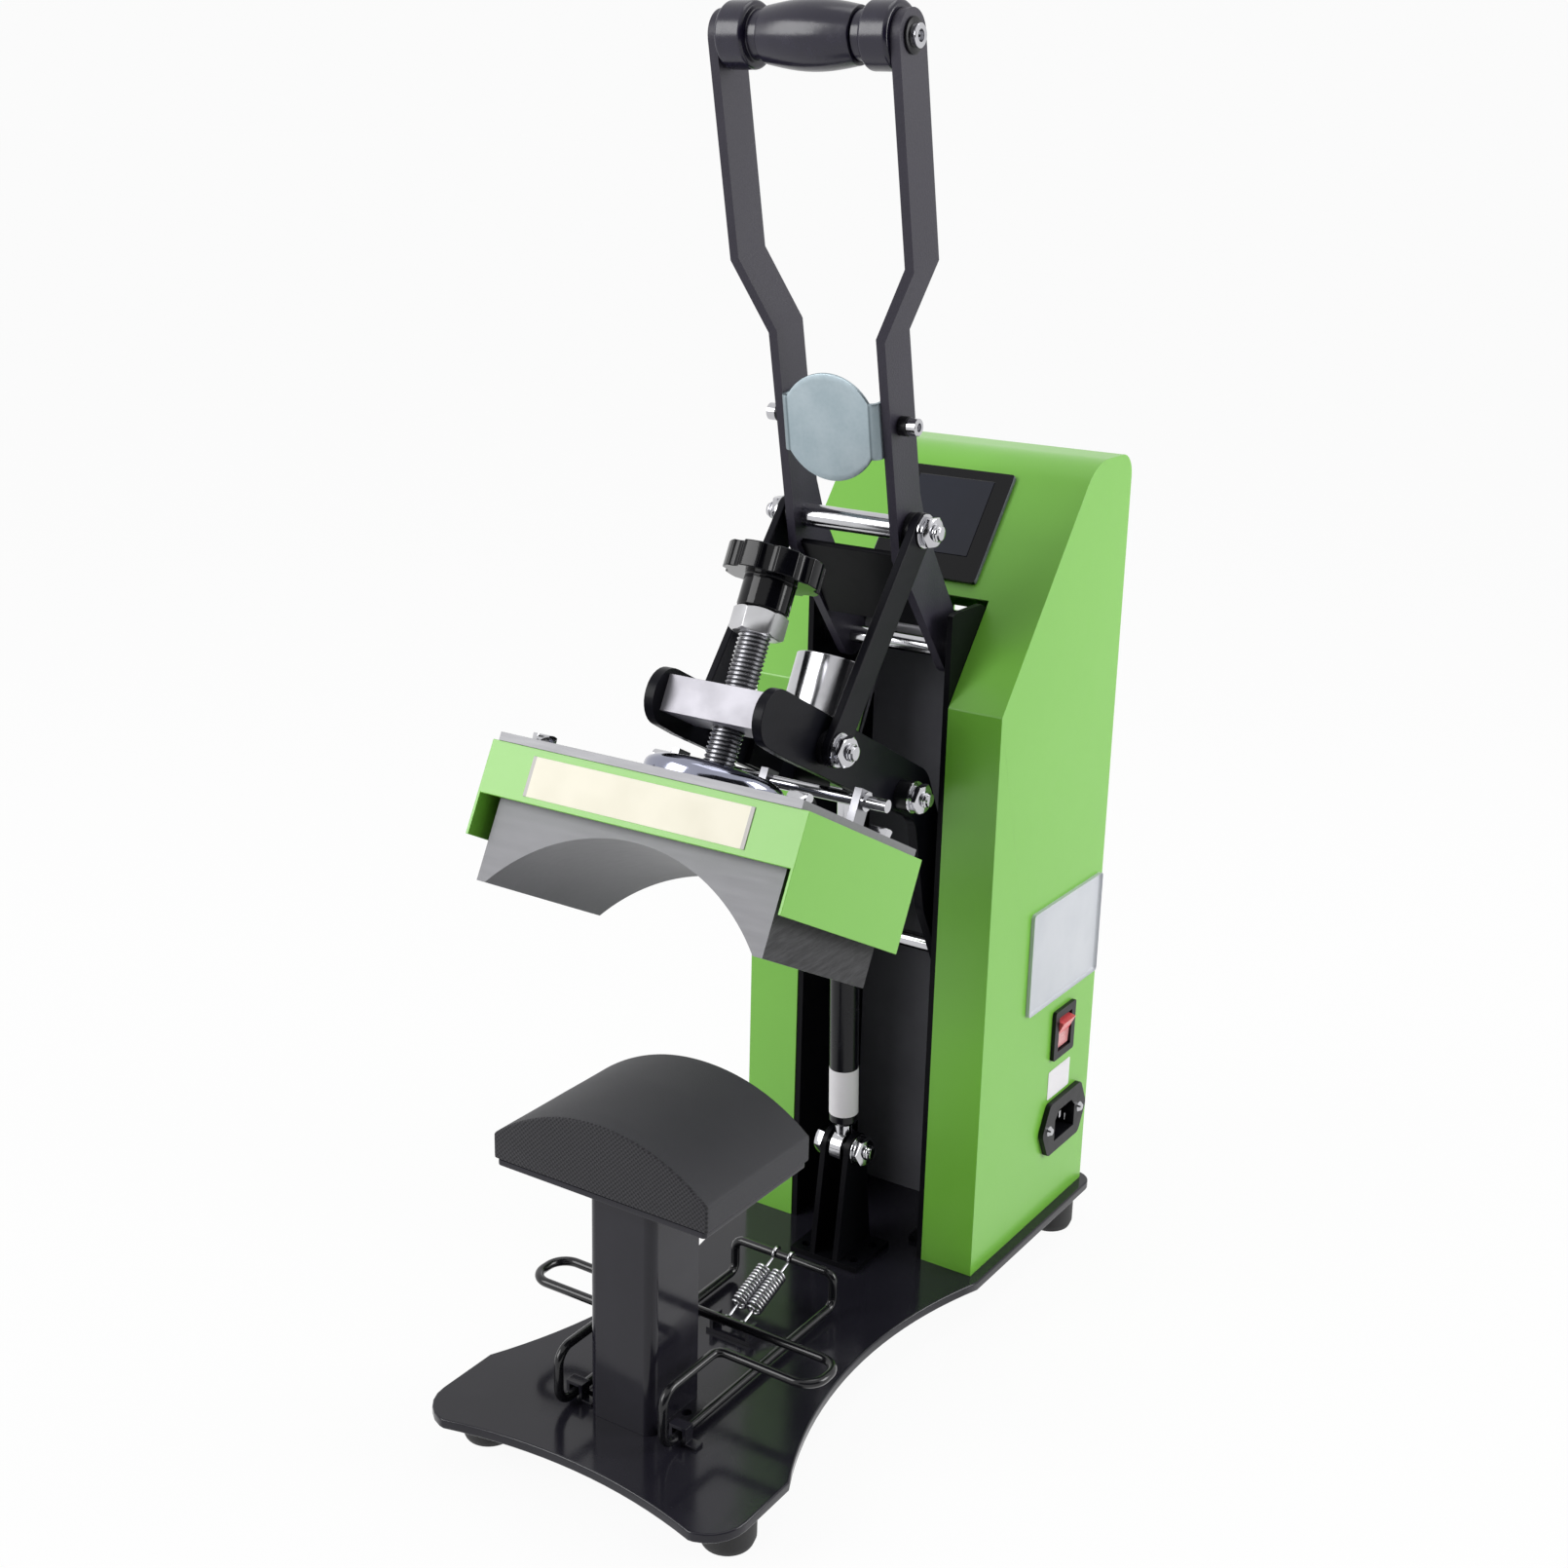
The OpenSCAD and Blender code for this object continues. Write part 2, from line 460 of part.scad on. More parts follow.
module link_bolts() on_arm() both_sides() {
    color(steel) {
        rod_x(bolt_d, arm_x0, 38.2, M);
        hex_x(13, arm_x0 - 5, arm_x0, M);
        nut_end(38.2, M);
    }
    color(black) difference() {
        rod_x(16, arm_x1, 33.8, M);
        rod_x(bolt_d, arm_x1 - 1, 35, M);
    }
}
mag_y = -46.9;
mag_z = z0 + 272.4;
module electromagnet() color(steel) on_arm() translate([0, mag_y, mag_z - 32]) difference() {
    cylinder(d = 40, h = 32);
    difference() {
        translate([0, 0, 31]) cylinder(d = 34, h = 2);
        translate([0, 0, 29]) cylinder(d = 16, h = 5);
    }
}
module magnet_bracket() color(black) on_arm() {
    difference() {
        translate([-arm_x0, mag_y - 15, mag_z - 35]) cube([2 * arm_x0, 30, 3]);
        translate([0, mag_y, mag_z - 40]) cylinder(d = 6, h = 10);
    }
    both_sides() translate([arm_x0 - 3, mag_y - 15, mag_z - 58]) cube([3, 30, 23.5]);
}
// ---- Links ----
link_x0 = 34;
link_x1 = 38;
module link(side) mirror([side < 0 ? 1 : 0, 0, 0]) difference() {
    along_x(link_x0, link_x1) union() {
        circle(d = link_w);
        translate([-link_w / 2, 0]) square([link_w, link_l]);
        translate([0, link_l]) circle(d = link_w);
    }
    rod_x(bolt_d + 0.1, link_x0 - 5, link_x1 + 5, [0, 0]);
    rod_x(bolt_d + 0.1, link_x0 - 5, link_x1 + 5, [0, link_l]);
}
module link_left() color(grey) on_link() link(-1);
module link_right() color(grey) on_link() link(1);

// ---- Handle ----
bar_x = 26;
bar_t = 4.5;
wide_x = 43;
// Distance of the armature disc from the top pivot
disc_s = 50.5;
module handle_bar(side) mirror([side < 0 ? 1 : 0, 0, 0]) difference() {
    intersection() {
        // Side view: straight bar, round top, lobe down to the rear pivot
        along_x(bar_x - 1, wide_x + bar_t + 1) union() {
            translate([-bar_w / 2, 0]) square([bar_w, grip_s]);
            translate([0, grip_s]) circle(d = bar_w);
            polygon([[-bar_w / 2, 20], [-bar_w / 2, -12], [FL[0] - 10.1, FL[1] - 4.4], [FL[0] + 10.1, FL[1] + 4.4], [15, -6], [bar_w / 2, 14]]);
            translate(FL) circle(r = 11);
        }
        // Front view: the joggle that spreads the bars
        along_y(-40, 60) polygon([[bar_x, -100], [bar_x + bar_t, -100], [bar_x + bar_t, 91], [wide_x + bar_t, 123], [wide_x + bar_t, 240],
            [wide_x, 240], [wide_x, 124.2], [bar_x, 92.2]]);
    }
    rod_x(bolt_d, bar_x - 5, bar_x + 10, [0, 0]);
    rod_x(9, bar_x - 5, bar_x + 10, FL);
    rod_x(bolt_d, wide_x - 5, wide_x + 10, [0, grip_s]);
    rod_x(4, bar_x - 5, bar_x + 10, [-2, disc_s]);
}
module handle_bar_left() color(grey) on_handle() handle_bar(-1);
module handle_bar_right() color(grey) on_handle() handle_bar(1);
// Folded web that ties the two bars below the top pivot
module handle_web() color(black) on_toggle() {
    translate([-bar_x, -11.5, -54]) cube([2 * bar_x, 3, 47]);
    translate([-bar_x, -8.5, -54]) cube([2 * bar_x, 8, 3]);
}
module top_pivot_tube() on_handle() {
    color(steel) difference() {
        rod_x(11, -bar_x, bar_x, [0, 0]);
        rod_x(bolt_d, -bar_x - 1, bar_x + 1, [0, 0]);
    }
    color(steel) rod_x(bolt_d, -38.2, 38.2, [0, 0]);
    color(steel) both_sides() nut_end(38.2, [0, 0]);
    color(black) both_sides() difference() {
        rod_x(16, bar_x + bar_t, 33.8, [0, 0]);
        rod_x(bolt_d, bar_x, 35, [0, 0]);
    }
}
module rear_pivot_rod() color(steel) on_handle() rod_x(9, -36.3, 36.3, FL);
module grip_barrel() color([0.12, 0.12, 0.13]) on_handle() translate([0, 0, grip_s]) rotate([0, 90, 0]) rotate_extrude($fn = 64)
    polygon(concat([[4.1, -23]], [for (i = [0:12]) [12 + 2.75 * sin(180 * i / 12), -23 + 46 * i / 12]], [[4.1, 23]]));
module grip_collars() color([0.12, 0.12, 0.13]) on_handle() both_sides() translate([0, 0, grip_s]) rotate([0, 90, 0]) rotate_extrude($fn = 64)
    polygon(concat([[4.1, 23.2], [10.6, 23.2], [10.6, 28.4]], [for (i = [0:4]) [14.25 - 2 * (1 - sin(22.5 * i)), 28.4 + 2 * (1 - cos(22.5 * i))]],
        [for (i = [0:4]) [14.25 - 2 * (1 - cos(22.5 * i)), wide_x - 2.2 + 2 * sin(22.5 * i)]], [[4.1, wide_x - 0.2]]));
module grip_bolt() color(steel) on_handle() {
    rod_x(bolt_d, -wide_x - bar_t, wide_x + bar_t, [0, grip_s]);
    both_sides() translate([wide_x + bar_t, 0, grip_s]) rotate([0, 90, 0]) cylinder(d1 = 15, d2 = 11, h = 4);
}
// Steel keeper that the magnet holds when the press is shut
module armature_disc() color(zinc) on_handle() translate([0, -14, disc_s]) rotate([-1.75, 0, 0]) {
    rotate([90, 0, 0]) linear_extrude(height = 2, center = true) intersection() {
        circle(r = 25, $fn = 96);
        translate([-24.2, -30]) square([48.4, 60]);
    }
    both_sides() difference() {
        translate([24, -1, -13]) cube([2, 20, 26]);
        rod_x(4.8, 20, 30, [12, 0]);
    }
}
module armature_screws() on_handle() both_sides() {
    color(black) difference() {
        rod_x(9, bar_x + bar_t, bar_x + bar_t + 4.5, [-2, disc_s]);
        rod_x(4, bar_x, bar_x + 12, [-2, disc_s]);
    }
    color(steel) {
        rod_x(4, bar_x - 4, bar_x + bar_t + 4.5, [-2, disc_s]);
        rod_x(8, bar_x + bar_t + 4.5, bar_x + bar_t + 9.5, [-2, disc_s]);
    }
}

// ---- Heating head ----
head_z = z0 + 188.4;
module head_top_plate() color([0.62, 0.62, 0.64]) on_arm() difference() {
    translate([-78.7, -176.5, head_z]) cube([157.4, 106, 3.8]);
    for (x = [-67, 67]) for (y = [-160.5, -86.5]) translate([x, y, head_z - 1]) cylinder(d = 6, h = 6);
    translate([0, KY, head_z - 1]) cylinder(d = 12, h = 6);
}
module head_bolts() color(steel) on_arm() for (x = [-67, 67]) for (y = [-160.5, -86.5]) translate([x, y, head_z + 3.8]) {
    cylinder(d = 10, h = 4.6);
    translate([0, 0, -14]) cylinder(d = 6, h = 14.2);
}
// Folded hood: long side skirts, shorter front and back with a turned lip
module head_hood() color(green) on_arm() difference() {
    union() {
        difference() {
            translate([-82.3, -176, z0 + 145.2]) cube([164.6, 106.5, 43.2]);
            translate([-80.8, -174.5, z0 + 140]) cube([161.6, 103.5, 46.9]);
            translate([-80.8, -180, z0 + 140]) cube([161.6, 120, 24.3]);
        }
        translate([-80.8, -174.6, z0 + 164.3]) cube([161.6, 3, 1.5]);
        translate([-80.8, -73.9, z0 + 164.3]) cube([161.6, 3, 1.5]);
    }
    for (x = [-67, 67]) for (y = [-160.5, -86.5]) translate([x, y, z0 + 180]) cylinder(d = 7, h = 12);
    translate([0, KY, z0 + 180]) cylinder(d = 14, h = 12);
}
arch_r = pad_r + 1.2;
module heating_block() color([0.6, 0.6, 0.63]) on_arm() difference() {
    translate([-block_half, -168.5, z0 + 127]) cube([2 * block_half, 91, 56]);
    translate([0, -160, z0 + 159.6 - arch_r]) rotate([90, 0, 0]) cylinder(r = arch_r, h = 260, center = true, $fn = 180);
    for (x = [-67, 67]) for (y = [-160.5, -86.5]) translate([x, y, z0 + 170]) cylinder(d = 6, h = 20);
    // Curved tunnel of the heating element
    element_arc(72.2);
}
module element_arc(w) intersection() {
    translate([0, -123, z0 + 159.6 - arch_r]) rotate([90, 0, 0]) rotate_extrude($fn = 120) translate([arch_r + 14, 0]) circle(d = 9, $fn = 24);
    translate([-w, -140, z0 + 128]) cube([2 * w, 40, 60]);
}
module heating_element() color([0.5, 0.42, 0.35]) on_arm() element_arc(72);
guide_p = [-79.5, z0 + 207.2];
module guide_blocks() color([0.7, 0.72, 0.76]) on_arm() for (x = [-50, 0, 50]) difference() {
    translate([x - 2, guide_p[0] - 5, head_z + 3.8]) cube([4, 10, 20]);
    rod_x(6, x - 5, x + 5, guide_p);
}
module guide_rod() color(steel) on_arm() {
    rod_x(6, -64, 64, guide_p);
    both_sides() rod_x(9, 52, 53.5, guide_p);
}
module pressure_dish() color(steel) on_arm() translate([0, KY, head_z + 3.8]) rotate_extrude($fn = 96)
    polygon(concat([[7.6, 2], [32, 0]], [for (i = [0:8]) [32 - 18 * (1 - cos(90 * i / 8)), 2 + 9 * sin(90 * i / 8)]], [[10, 11], [7.6, 11]]));
module pressure_screw() color([0.75, 0.76, 0.8]) on_arm() translate([0, KY, head_z + 4.2]) cylinder(d = screw_d, h = 103);
module lock_nut() color(steel) on_arm() translate([0, KY, z0 + 264]) difference() {
    cylinder(d = 22 / cos(30), h = 11.6, $fn = 6);
    translate([0, 0, -1]) cylinder(d = screw_d, h = 16);
}
// Lobed star knob on its shank
module pressure_knob() color([0.1, 0.1, 0.11]) on_arm() translate([0, KY, z0 + 275.8]) difference() {
    union() {
        cylinder(d = 24, h = 15);
        translate([0, 0, 14]) linear_extrude(height = 12) difference() {
            circle(d = knob_d, $fn = 96);
            for (i = [0:7]) rotate([0, 0, 22.5 + 45 * i]) translate([knob_d / 2 + 3.4, 0]) circle(r = 5.6);
        }
    }
    translate([0, 0, -1]) cylinder(d = screw_d, h = 21);
}

base_plate();
rubber_feet();
pedestal_post();
lower_platen();
lower_pad();
clamp_clips();
clamp_wire();
clamp_springs();
spring_anchors();
housing_shell();
back_cover();
housing_screws();
control_panel();
display_glass();
control_board();
switch_bezel();
rocker_switch();
power_inlet();
inlet_screws();
frame_plate_left();
frame_plate_right();
frame_back();
spacer_rod();
arm_pivot_rod();
strut_bracket();
strut_bolt();
strut_cylinder();
strut_rod();
arm_plate_left();
arm_plate_right();
arm_crossbar();
strut_top_bolt();
link_bolts();
electromagnet();
magnet_bracket();
link_left();
link_right();
handle_bar_left();
handle_bar_right();
handle_web();
top_pivot_tube();
rear_pivot_rod();
grip_barrel();
grip_collars();
grip_bolt();
armature_disc();
armature_screws();
head_top_plate();
head_bolts();
head_hood();
heating_block();
heating_element();
guide_blocks();
guide_rod();
pressure_dish();
pressure_screw();
lock_nut();
pressure_knob();
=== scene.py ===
import json
import math
import bpy
from mathutils import Matrix, Vector

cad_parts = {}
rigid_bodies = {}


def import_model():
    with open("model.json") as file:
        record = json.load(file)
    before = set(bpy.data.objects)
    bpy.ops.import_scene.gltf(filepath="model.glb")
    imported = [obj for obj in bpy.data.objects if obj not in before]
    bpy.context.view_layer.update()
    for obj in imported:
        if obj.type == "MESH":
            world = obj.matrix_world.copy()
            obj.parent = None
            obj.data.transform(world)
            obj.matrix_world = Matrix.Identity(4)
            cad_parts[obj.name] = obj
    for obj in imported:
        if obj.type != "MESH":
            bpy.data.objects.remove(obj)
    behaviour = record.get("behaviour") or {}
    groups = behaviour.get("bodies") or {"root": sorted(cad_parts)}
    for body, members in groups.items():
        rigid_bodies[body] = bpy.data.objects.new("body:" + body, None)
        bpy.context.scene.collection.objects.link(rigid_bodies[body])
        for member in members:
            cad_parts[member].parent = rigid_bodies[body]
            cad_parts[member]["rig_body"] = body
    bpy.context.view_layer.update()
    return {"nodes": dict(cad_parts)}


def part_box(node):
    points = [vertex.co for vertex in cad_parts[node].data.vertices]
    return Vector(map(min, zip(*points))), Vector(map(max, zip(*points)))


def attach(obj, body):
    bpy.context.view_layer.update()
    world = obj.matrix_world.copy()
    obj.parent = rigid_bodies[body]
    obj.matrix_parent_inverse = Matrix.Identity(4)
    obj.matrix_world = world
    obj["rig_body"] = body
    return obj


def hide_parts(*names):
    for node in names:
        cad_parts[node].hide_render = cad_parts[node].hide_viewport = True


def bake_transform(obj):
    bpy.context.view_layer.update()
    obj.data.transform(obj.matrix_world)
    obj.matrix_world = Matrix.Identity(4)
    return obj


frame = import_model()
nodes = frame["nodes"]
MM = 0.001

# --------------------------------------------
# Base plate: 5 mm steel, cut with two lobes in front and a drawn-in waist,
# edges broken, then coated gloss black. It rests on the four feet.
# --------------------------------------------


class Shade:
    """One output of a node. Arithmetic on it adds Math nodes, and node() adds any other."""

    def __init__(self, tree, socket=None):
        self.tree = tree
        self.socket = socket

    def node(self, kind, settings=None, inputs=None, out=0):
        made = self.tree.nodes.new(kind)
        for name, value in (settings or {}).items():
            if name == "stops":
                ramp = made.color_ramp
                while len(ramp.elements) < len(value):
                    ramp.elements.new(0.5)
                for element, (place, level) in zip(ramp.elements, value):
                    element.position = place
                    element.color = (level, level, level, 1)
            else:
                setattr(made, name, value)
        for key, value in (inputs or {}).items():
            if isinstance(value, Shade):
                self.tree.links.new(value.socket, made.inputs[key])
            else:
                made.inputs[key].default_value = value
        return Shade(self.tree, made.outputs[out])

    def math(self, operation, *values):
        return self.node("ShaderNodeMath", {"operation": operation}, dict(enumerate(values)))

    def taken(self, operation):
        """A function of this value alone, such as SINE."""
        return self.math(operation, self)

    def __add__(self, other):
        return self.math("ADD", self, other)

    __radd__ = __add__

    def __sub__(self, other):
        return self.math("SUBTRACT", self, other)

    def __rsub__(self, other):
        return self.math("SUBTRACT", other, self)

    def __mul__(self, other):
        return self.math("MULTIPLY", self, other)

    __rmul__ = __mul__

    def __truediv__(self, other):
        return self.math("DIVIDE", self, other)

    def __gt__(self, other):
        return self.math("GREATER_THAN", self, other)

    def __lt__(self, other):
        return self.math("LESS_THAN", self, other)


def finish(name):
    """A new material, and its place on the object as the start of an expression."""
    material = bpy.data.materials.new(name)
    material.use_nodes = True
    place = Shade(material.node_tree).node("ShaderNodeTexCoord", out="Object")
    return material, place


def grain(place, scale, detail=2.0, rough=0.5, stretch=(1, 1, 1)):
    """Noise from 0 to 1, with features of about 1 / scale metres."""
    moved = place.node("ShaderNodeMapping", {}, {"Vector": place, "Scale": stretch})
    inputs = {"Vector": moved, "Scale": scale, "Detail": detail, "Roughness": rough}
    return place.node("ShaderNodeTexNoise", {}, inputs, "Fac")


def ramp(value, *stops):
    """Value through grey stops, each a place and a level."""
    return value.node("ShaderNodeValToRGB", {"stops": stops}, {"Fac": value})


def blend(factor, first, second):
    """Colour between two colours."""
    inputs = {0: factor}
    for key, colour in ((6, first), (7, second)):
        inputs[key] = colour if isinstance(colour, Shade) else (*colour, 1)
    return factor.node("ShaderNodeMix", {"data_type": "RGBA"}, inputs, 2)


def bump(height, depth, strength=1.0):
    """Normal from a height of 0 to 1 that stands for depth metres."""
    inputs = {"Height": height, "Distance": depth, "Strength": strength}
    return height.node("ShaderNodeBump", {}, inputs)


def coat(material, **sockets):
    """Sets or links the sockets of the material's shader."""
    tree = material.node_tree
    shader = tree.nodes["Principled BSDF"]
    for key, value in sockets.items():
        socket = shader.inputs[key.replace("_", " ")]
        if isinstance(value, Shade):
            tree.links.new(value.socket, socket)
        elif isinstance(value, tuple) and len(value) == 3:
            socket.default_value = (*value, 1)
        else:
            socket.default_value = value
    return material


def paint(material, *names):
    """Gives CAD nodes or pieces this material in their first slot."""
    for name in names:
        piece = bpy.data.objects[name]
        if piece.data.materials:
            piece.data.materials[0] = material
        else:
            piece.data.materials.append(material)


def alone(piece):
    """Leaves one object selected."""
    bpy.ops.object.select_all(action="DESELECT")
    piece.select_set(True)
    bpy.context.view_layer.objects.active = piece


def edit(piece):
    """Opens one mesh for editing, with all of it selected."""
    alone(piece)
    bpy.ops.object.mode_set(mode="EDIT")
    bpy.ops.mesh.select_all(action="SELECT")


def modify(piece, kind, **settings):
    """Adds a modifier, sets it and applies it."""
    alone(piece)
    bpy.ops.object.modifier_add(type=kind)
    modifier = piece.modifiers[-1]
    for key, value in settings.items():
        setattr(modifier, key, value)
    bpy.ops.object.modifier_apply(modifier=modifier.name)


def smooth(piece, degrees=38):
    """Shades a piece smooth, up to an angle between its faces."""
    alone(piece)
    bpy.ops.object.shade_smooth_by_angle(angle=math.radians(degrees))


WELD = 4e-6
FLAT_WITHIN = math.radians(0.6)
SHARP_FROM = math.radians(32)


def eased(name, width, segments=2):
    """A solid with its sharp edges broken, as tumbling and coating leave them."""
    source = nodes[name]
    piece = source.copy()
    piece.data = source.data.copy()
    piece.name = name + "_eased"
    piece.parent = None
    body = source["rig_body"]
    for key in list(piece.keys()):
        del piece[key]
    bpy.context.scene.collection.objects.link(piece)
    alone(piece)
    bpy.ops.mesh.customdata_custom_splitnormals_clear()
    edit(piece)
    bpy.ops.mesh.remove_doubles(threshold=WELD)
    bpy.ops.mesh.dissolve_limited(angle_limit=FLAT_WITHIN)
    bpy.ops.object.mode_set(mode="OBJECT")
    modify(
        piece,
        "BEVEL",
        width=width * MM,
        segments=segments,
        limit_method="ANGLE",
        angle_limit=SHARP_FROM,
        use_clamp_overlap=True,
    )
    smooth(piece)
    modify(piece, "WEIGHTED_NORMAL", keep_sharp=True)
    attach(piece, body)
    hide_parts(name)
    return piece


def dressed(name, width, material, segments=2):
    """An eased solid with its finish."""
    piece = eased(name, width, segments)
    paint(material, piece.name)
    return piece


def black_coat(name, colour, roughness, peel, specular=0.08):
    """Black powder coat with orange peel, faint dust and rub marks."""
    material, place = finish(name)
    dust = ramp(grain(place, 26, 5), (0.45, 0), (0.75, 1))
    rub = ramp(grain(place, 90, 4, 0.6, (1, 0.25, 1)), (0.5, 0), (0.8, 1))
    peeled = bump(grain(place, 700, 2), 0.00003, peel)
    lighter = tuple(c * 1.6 + 0.004 for c in colour)
    return coat(
        material,
        Base_Color=blend(dust * 0.35, colour, lighter),
        Roughness=rub * 0.09 + dust * 0.06 + roughness,
        Specular_IOR_Level=specular,
        Coat_Weight=0.03,
        Coat_Roughness=0.12,
        Normal=peeled,
    )


gloss_black = black_coat("gloss_black_coat", (0.014, 0.0132, 0.0195), 0.13, 0.25, 0.3)
dressed("base_plate", 0.9, gloss_black, 3)

# --------------------------------------------
# Feet: four round feet of moulded black rubber under the base, dull and a
# little dusty.
# --------------------------------------------
foot_rubber, place = finish("moulded_foot_rubber")
bloom = ramp(grain(place, 60, 5), (0.4, 0), (0.8, 1))
coat(
    foot_rubber,
    Base_Color=blend(bloom * 0.5, (0.018, 0.018, 0.019), (0.05, 0.05, 0.05)),
    Roughness=bloom * 0.12 + 0.62,
    Normal=bump(grain(place, 900, 3), 0.00004, 0.6),
)
dressed("rubber_feet", 1.2, foot_rubber, 3)

# --------------------------------------------
# Pedestal: a folded channel that stands on the base, and the thin carrier
# plate of the pad on top of it. Gloss black like the base.
# --------------------------------------------
for name, width in (("pedestal_post", 0.5), ("lower_platen", 0.6)):
    dressed(name, width, gloss_black)

# --------------------------------------------
# Pad: a crowned block of silicone foam with a smooth skin on top and a woven
# look on the cut ends. It is glued to the carrier.
# --------------------------------------------
pad_low, pad_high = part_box("lower_pad")
PAD_BOTTOM = pad_low.z
PAD_TOP = pad_high.z
PAD_HALF = pad_high.x
PAD_RADIUS = 91 * MM
PAD_EDGE = 2.2 * MM
PAD_ROUNDING = PAD_EDGE * 0.45
PAD_DENT = 0.22 * MM
SIDE_STEPS = 9
CROWN_STEPS = 56
BOTTOM_STEPS = 40
EDGE_STEPS = 6
LENGTH_STEPS = 44


def pad_profile(shrink):
    """Outline of the crowned block in x and z, moved in by shrink."""
    centre = PAD_TOP - PAD_RADIUS
    radius = PAD_RADIUS - shrink
    half = PAD_HALF - shrink
    low = PAD_BOTTOM + shrink
    shoulder = centre + math.sqrt(radius * radius - half * half)
    swing = math.asin(half / radius)
    points = []
    for i in range(SIDE_STEPS):
        points.append((half, low + (shoulder - low) * i / SIDE_STEPS))
    for i in range(CROWN_STEPS + 1):
        angle = swing * (1 - 2 * i / CROWN_STEPS)
        points.append((radius * math.sin(angle), centre + radius * math.cos(angle)))
    for i in range(SIDE_STEPS):
        points.append((-half, shoulder + (low - shoulder) * (i + 1) / SIDE_STEPS))
    for i in range(1, BOTTOM_STEPS):
        points.append((-half + 2 * half * i / BOTTOM_STEPS, low))
    return points


def pad_mesh():
    """The block from front to back, with rounded ends and a slightly uneven crown."""
    first, last = pad_low.y + 1 * MM, pad_high.y - 1 * MM
    turns = [math.pi / 2 * i / EDGE_STEPS for i in range(EDGE_STEPS + 1)]
    ends = [(PAD_ROUNDING * (1 - math.sin(a)), PAD_ROUNDING * (1 - math.cos(a))) for a in turns]
    rows = [(shrink, pad_low.y + y) for shrink, y in ends]
    rows += [(0.0, first + (last - first) * i / LENGTH_STEPS) for i in range(1, LENGTH_STEPS)]
    rows += [(shrink, pad_high.y - y) for shrink, y in reversed(ends)]
    verts, faces = [], []
    for shrink, y in rows:
        for x, z in pad_profile(shrink):
            dent = PAD_DENT * math.sin(x * 61 + 1.3) * math.sin(y * 83 + 0.4)
            crown = max(0.0, (z - PAD_BOTTOM) / (PAD_TOP - PAD_BOTTOM))
            verts.append((x, y, z - abs(dent) * crown))
    count = len(pad_profile(0.0))
    for r in range(len(rows) - 1):
        for i in range(count):
            j = (i + 1) % count
            faces.append((r * count + i, (r + 1) * count + i, (r + 1) * count + j, r * count + j))
    faces.append(tuple(range(count)))
    top = (len(rows) - 1) * count
    faces.append(tuple(reversed(range(top, top + count))))
    mesh = bpy.data.meshes.new("pad_cushion")
    mesh.from_pydata(verts, [], faces)
    mesh.update()
    return mesh


def brought(name, data):
    """A new object in the scene with this data."""
    piece = bpy.data.objects.new(name, data)
    bpy.context.scene.collection.objects.link(piece)
    return piece


def face_out(piece):
    """Turns the faces of a closed mesh outwards."""
    edit(piece)
    bpy.ops.mesh.normals_make_consistent(inside=False)
    bpy.ops.object.mode_set(mode="OBJECT")


def rounded(piece, width, segments, degrees):
    """Bevels the edges that are sharper than an angle."""
    limit = math.radians(degrees)
    modify(
        piece, "BEVEL", width=width * MM, segments=segments, limit_method="ANGLE", angle_limit=limit
    )


def axes(place):
    """The X, Y and Z of a place."""
    split = place.node("ShaderNodeSeparateXYZ", {}, {"Vector": place})
    return [Shade(split.tree, split.socket.node.outputs[key]) for key in "XYZ"]


pad = brought("pad_cushion", pad_mesh())
face_out(pad)
rounded(pad, 1.0, 3, 35)
smooth(pad, 45)
pad_skin, place = finish("silicone_pad_skin")
across, along, height = axes(place)
WEAVE = 2 * math.pi / (2.2 * MM)
CUT_END = 1.2 * MM
knots = (across * WEAVE).taken("SINE") * (height * WEAVE).taken("SINE")
ends = (along < pad_low.y + CUT_END) + (along > pad_high.y - CUT_END)
fibre = grain(place, 1600, 3)
wash = ramp(grain(place, 30, 4), (0.35, 0), (0.75, 1))
skin_colour = blend(wash * 0.4 + fibre * 0.25, (0.031, 0.031, 0.036), (0.046, 0.046, 0.052))
end_colour = blend(knots * 0.5 + 0.5, (0.006, 0.006, 0.008), (0.034, 0.033, 0.039))
relief = ends * knots * 0.5 + fibre * 0.25
coat(
    pad_skin,
    Base_Color=blend(ends, skin_colour, end_colour),
    Roughness=fibre * 0.1 + wash * 0.05 + 0.6,
    Normal=bump(relief, 0.0004, 0.9),
    Sheen_Weight=0.06,
    Sheen_Roughness=0.5,
    Specular_IOR_Level=0.35,
)
paint(pad_skin, pad.name)
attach(pad, "base")
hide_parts("lower_pad")

# --------------------------------------------
# Wire clamp: one piece of 4.5 mm wire bent into a frame with two ears, coated
# black, that rocks in two saddle clips.
# --------------------------------------------
# Top of the base plate. Z0 and the places below are in mm.
Z0 = 25.0
CLAMP_WIRE = 4.5
CLAMP_X = 29.5
CLAMP_REAR = -14
CLAMP_REAR_UP = Z0 + 22
RAIL_UP = Z0 + 4
RAIL_FRONT = -157.5
ARCH_UP = Z0 + 32
ARCH_REAR = -115
EAR_X = 81
EAR_REAR = -91.5
ARC_STEPS = 10


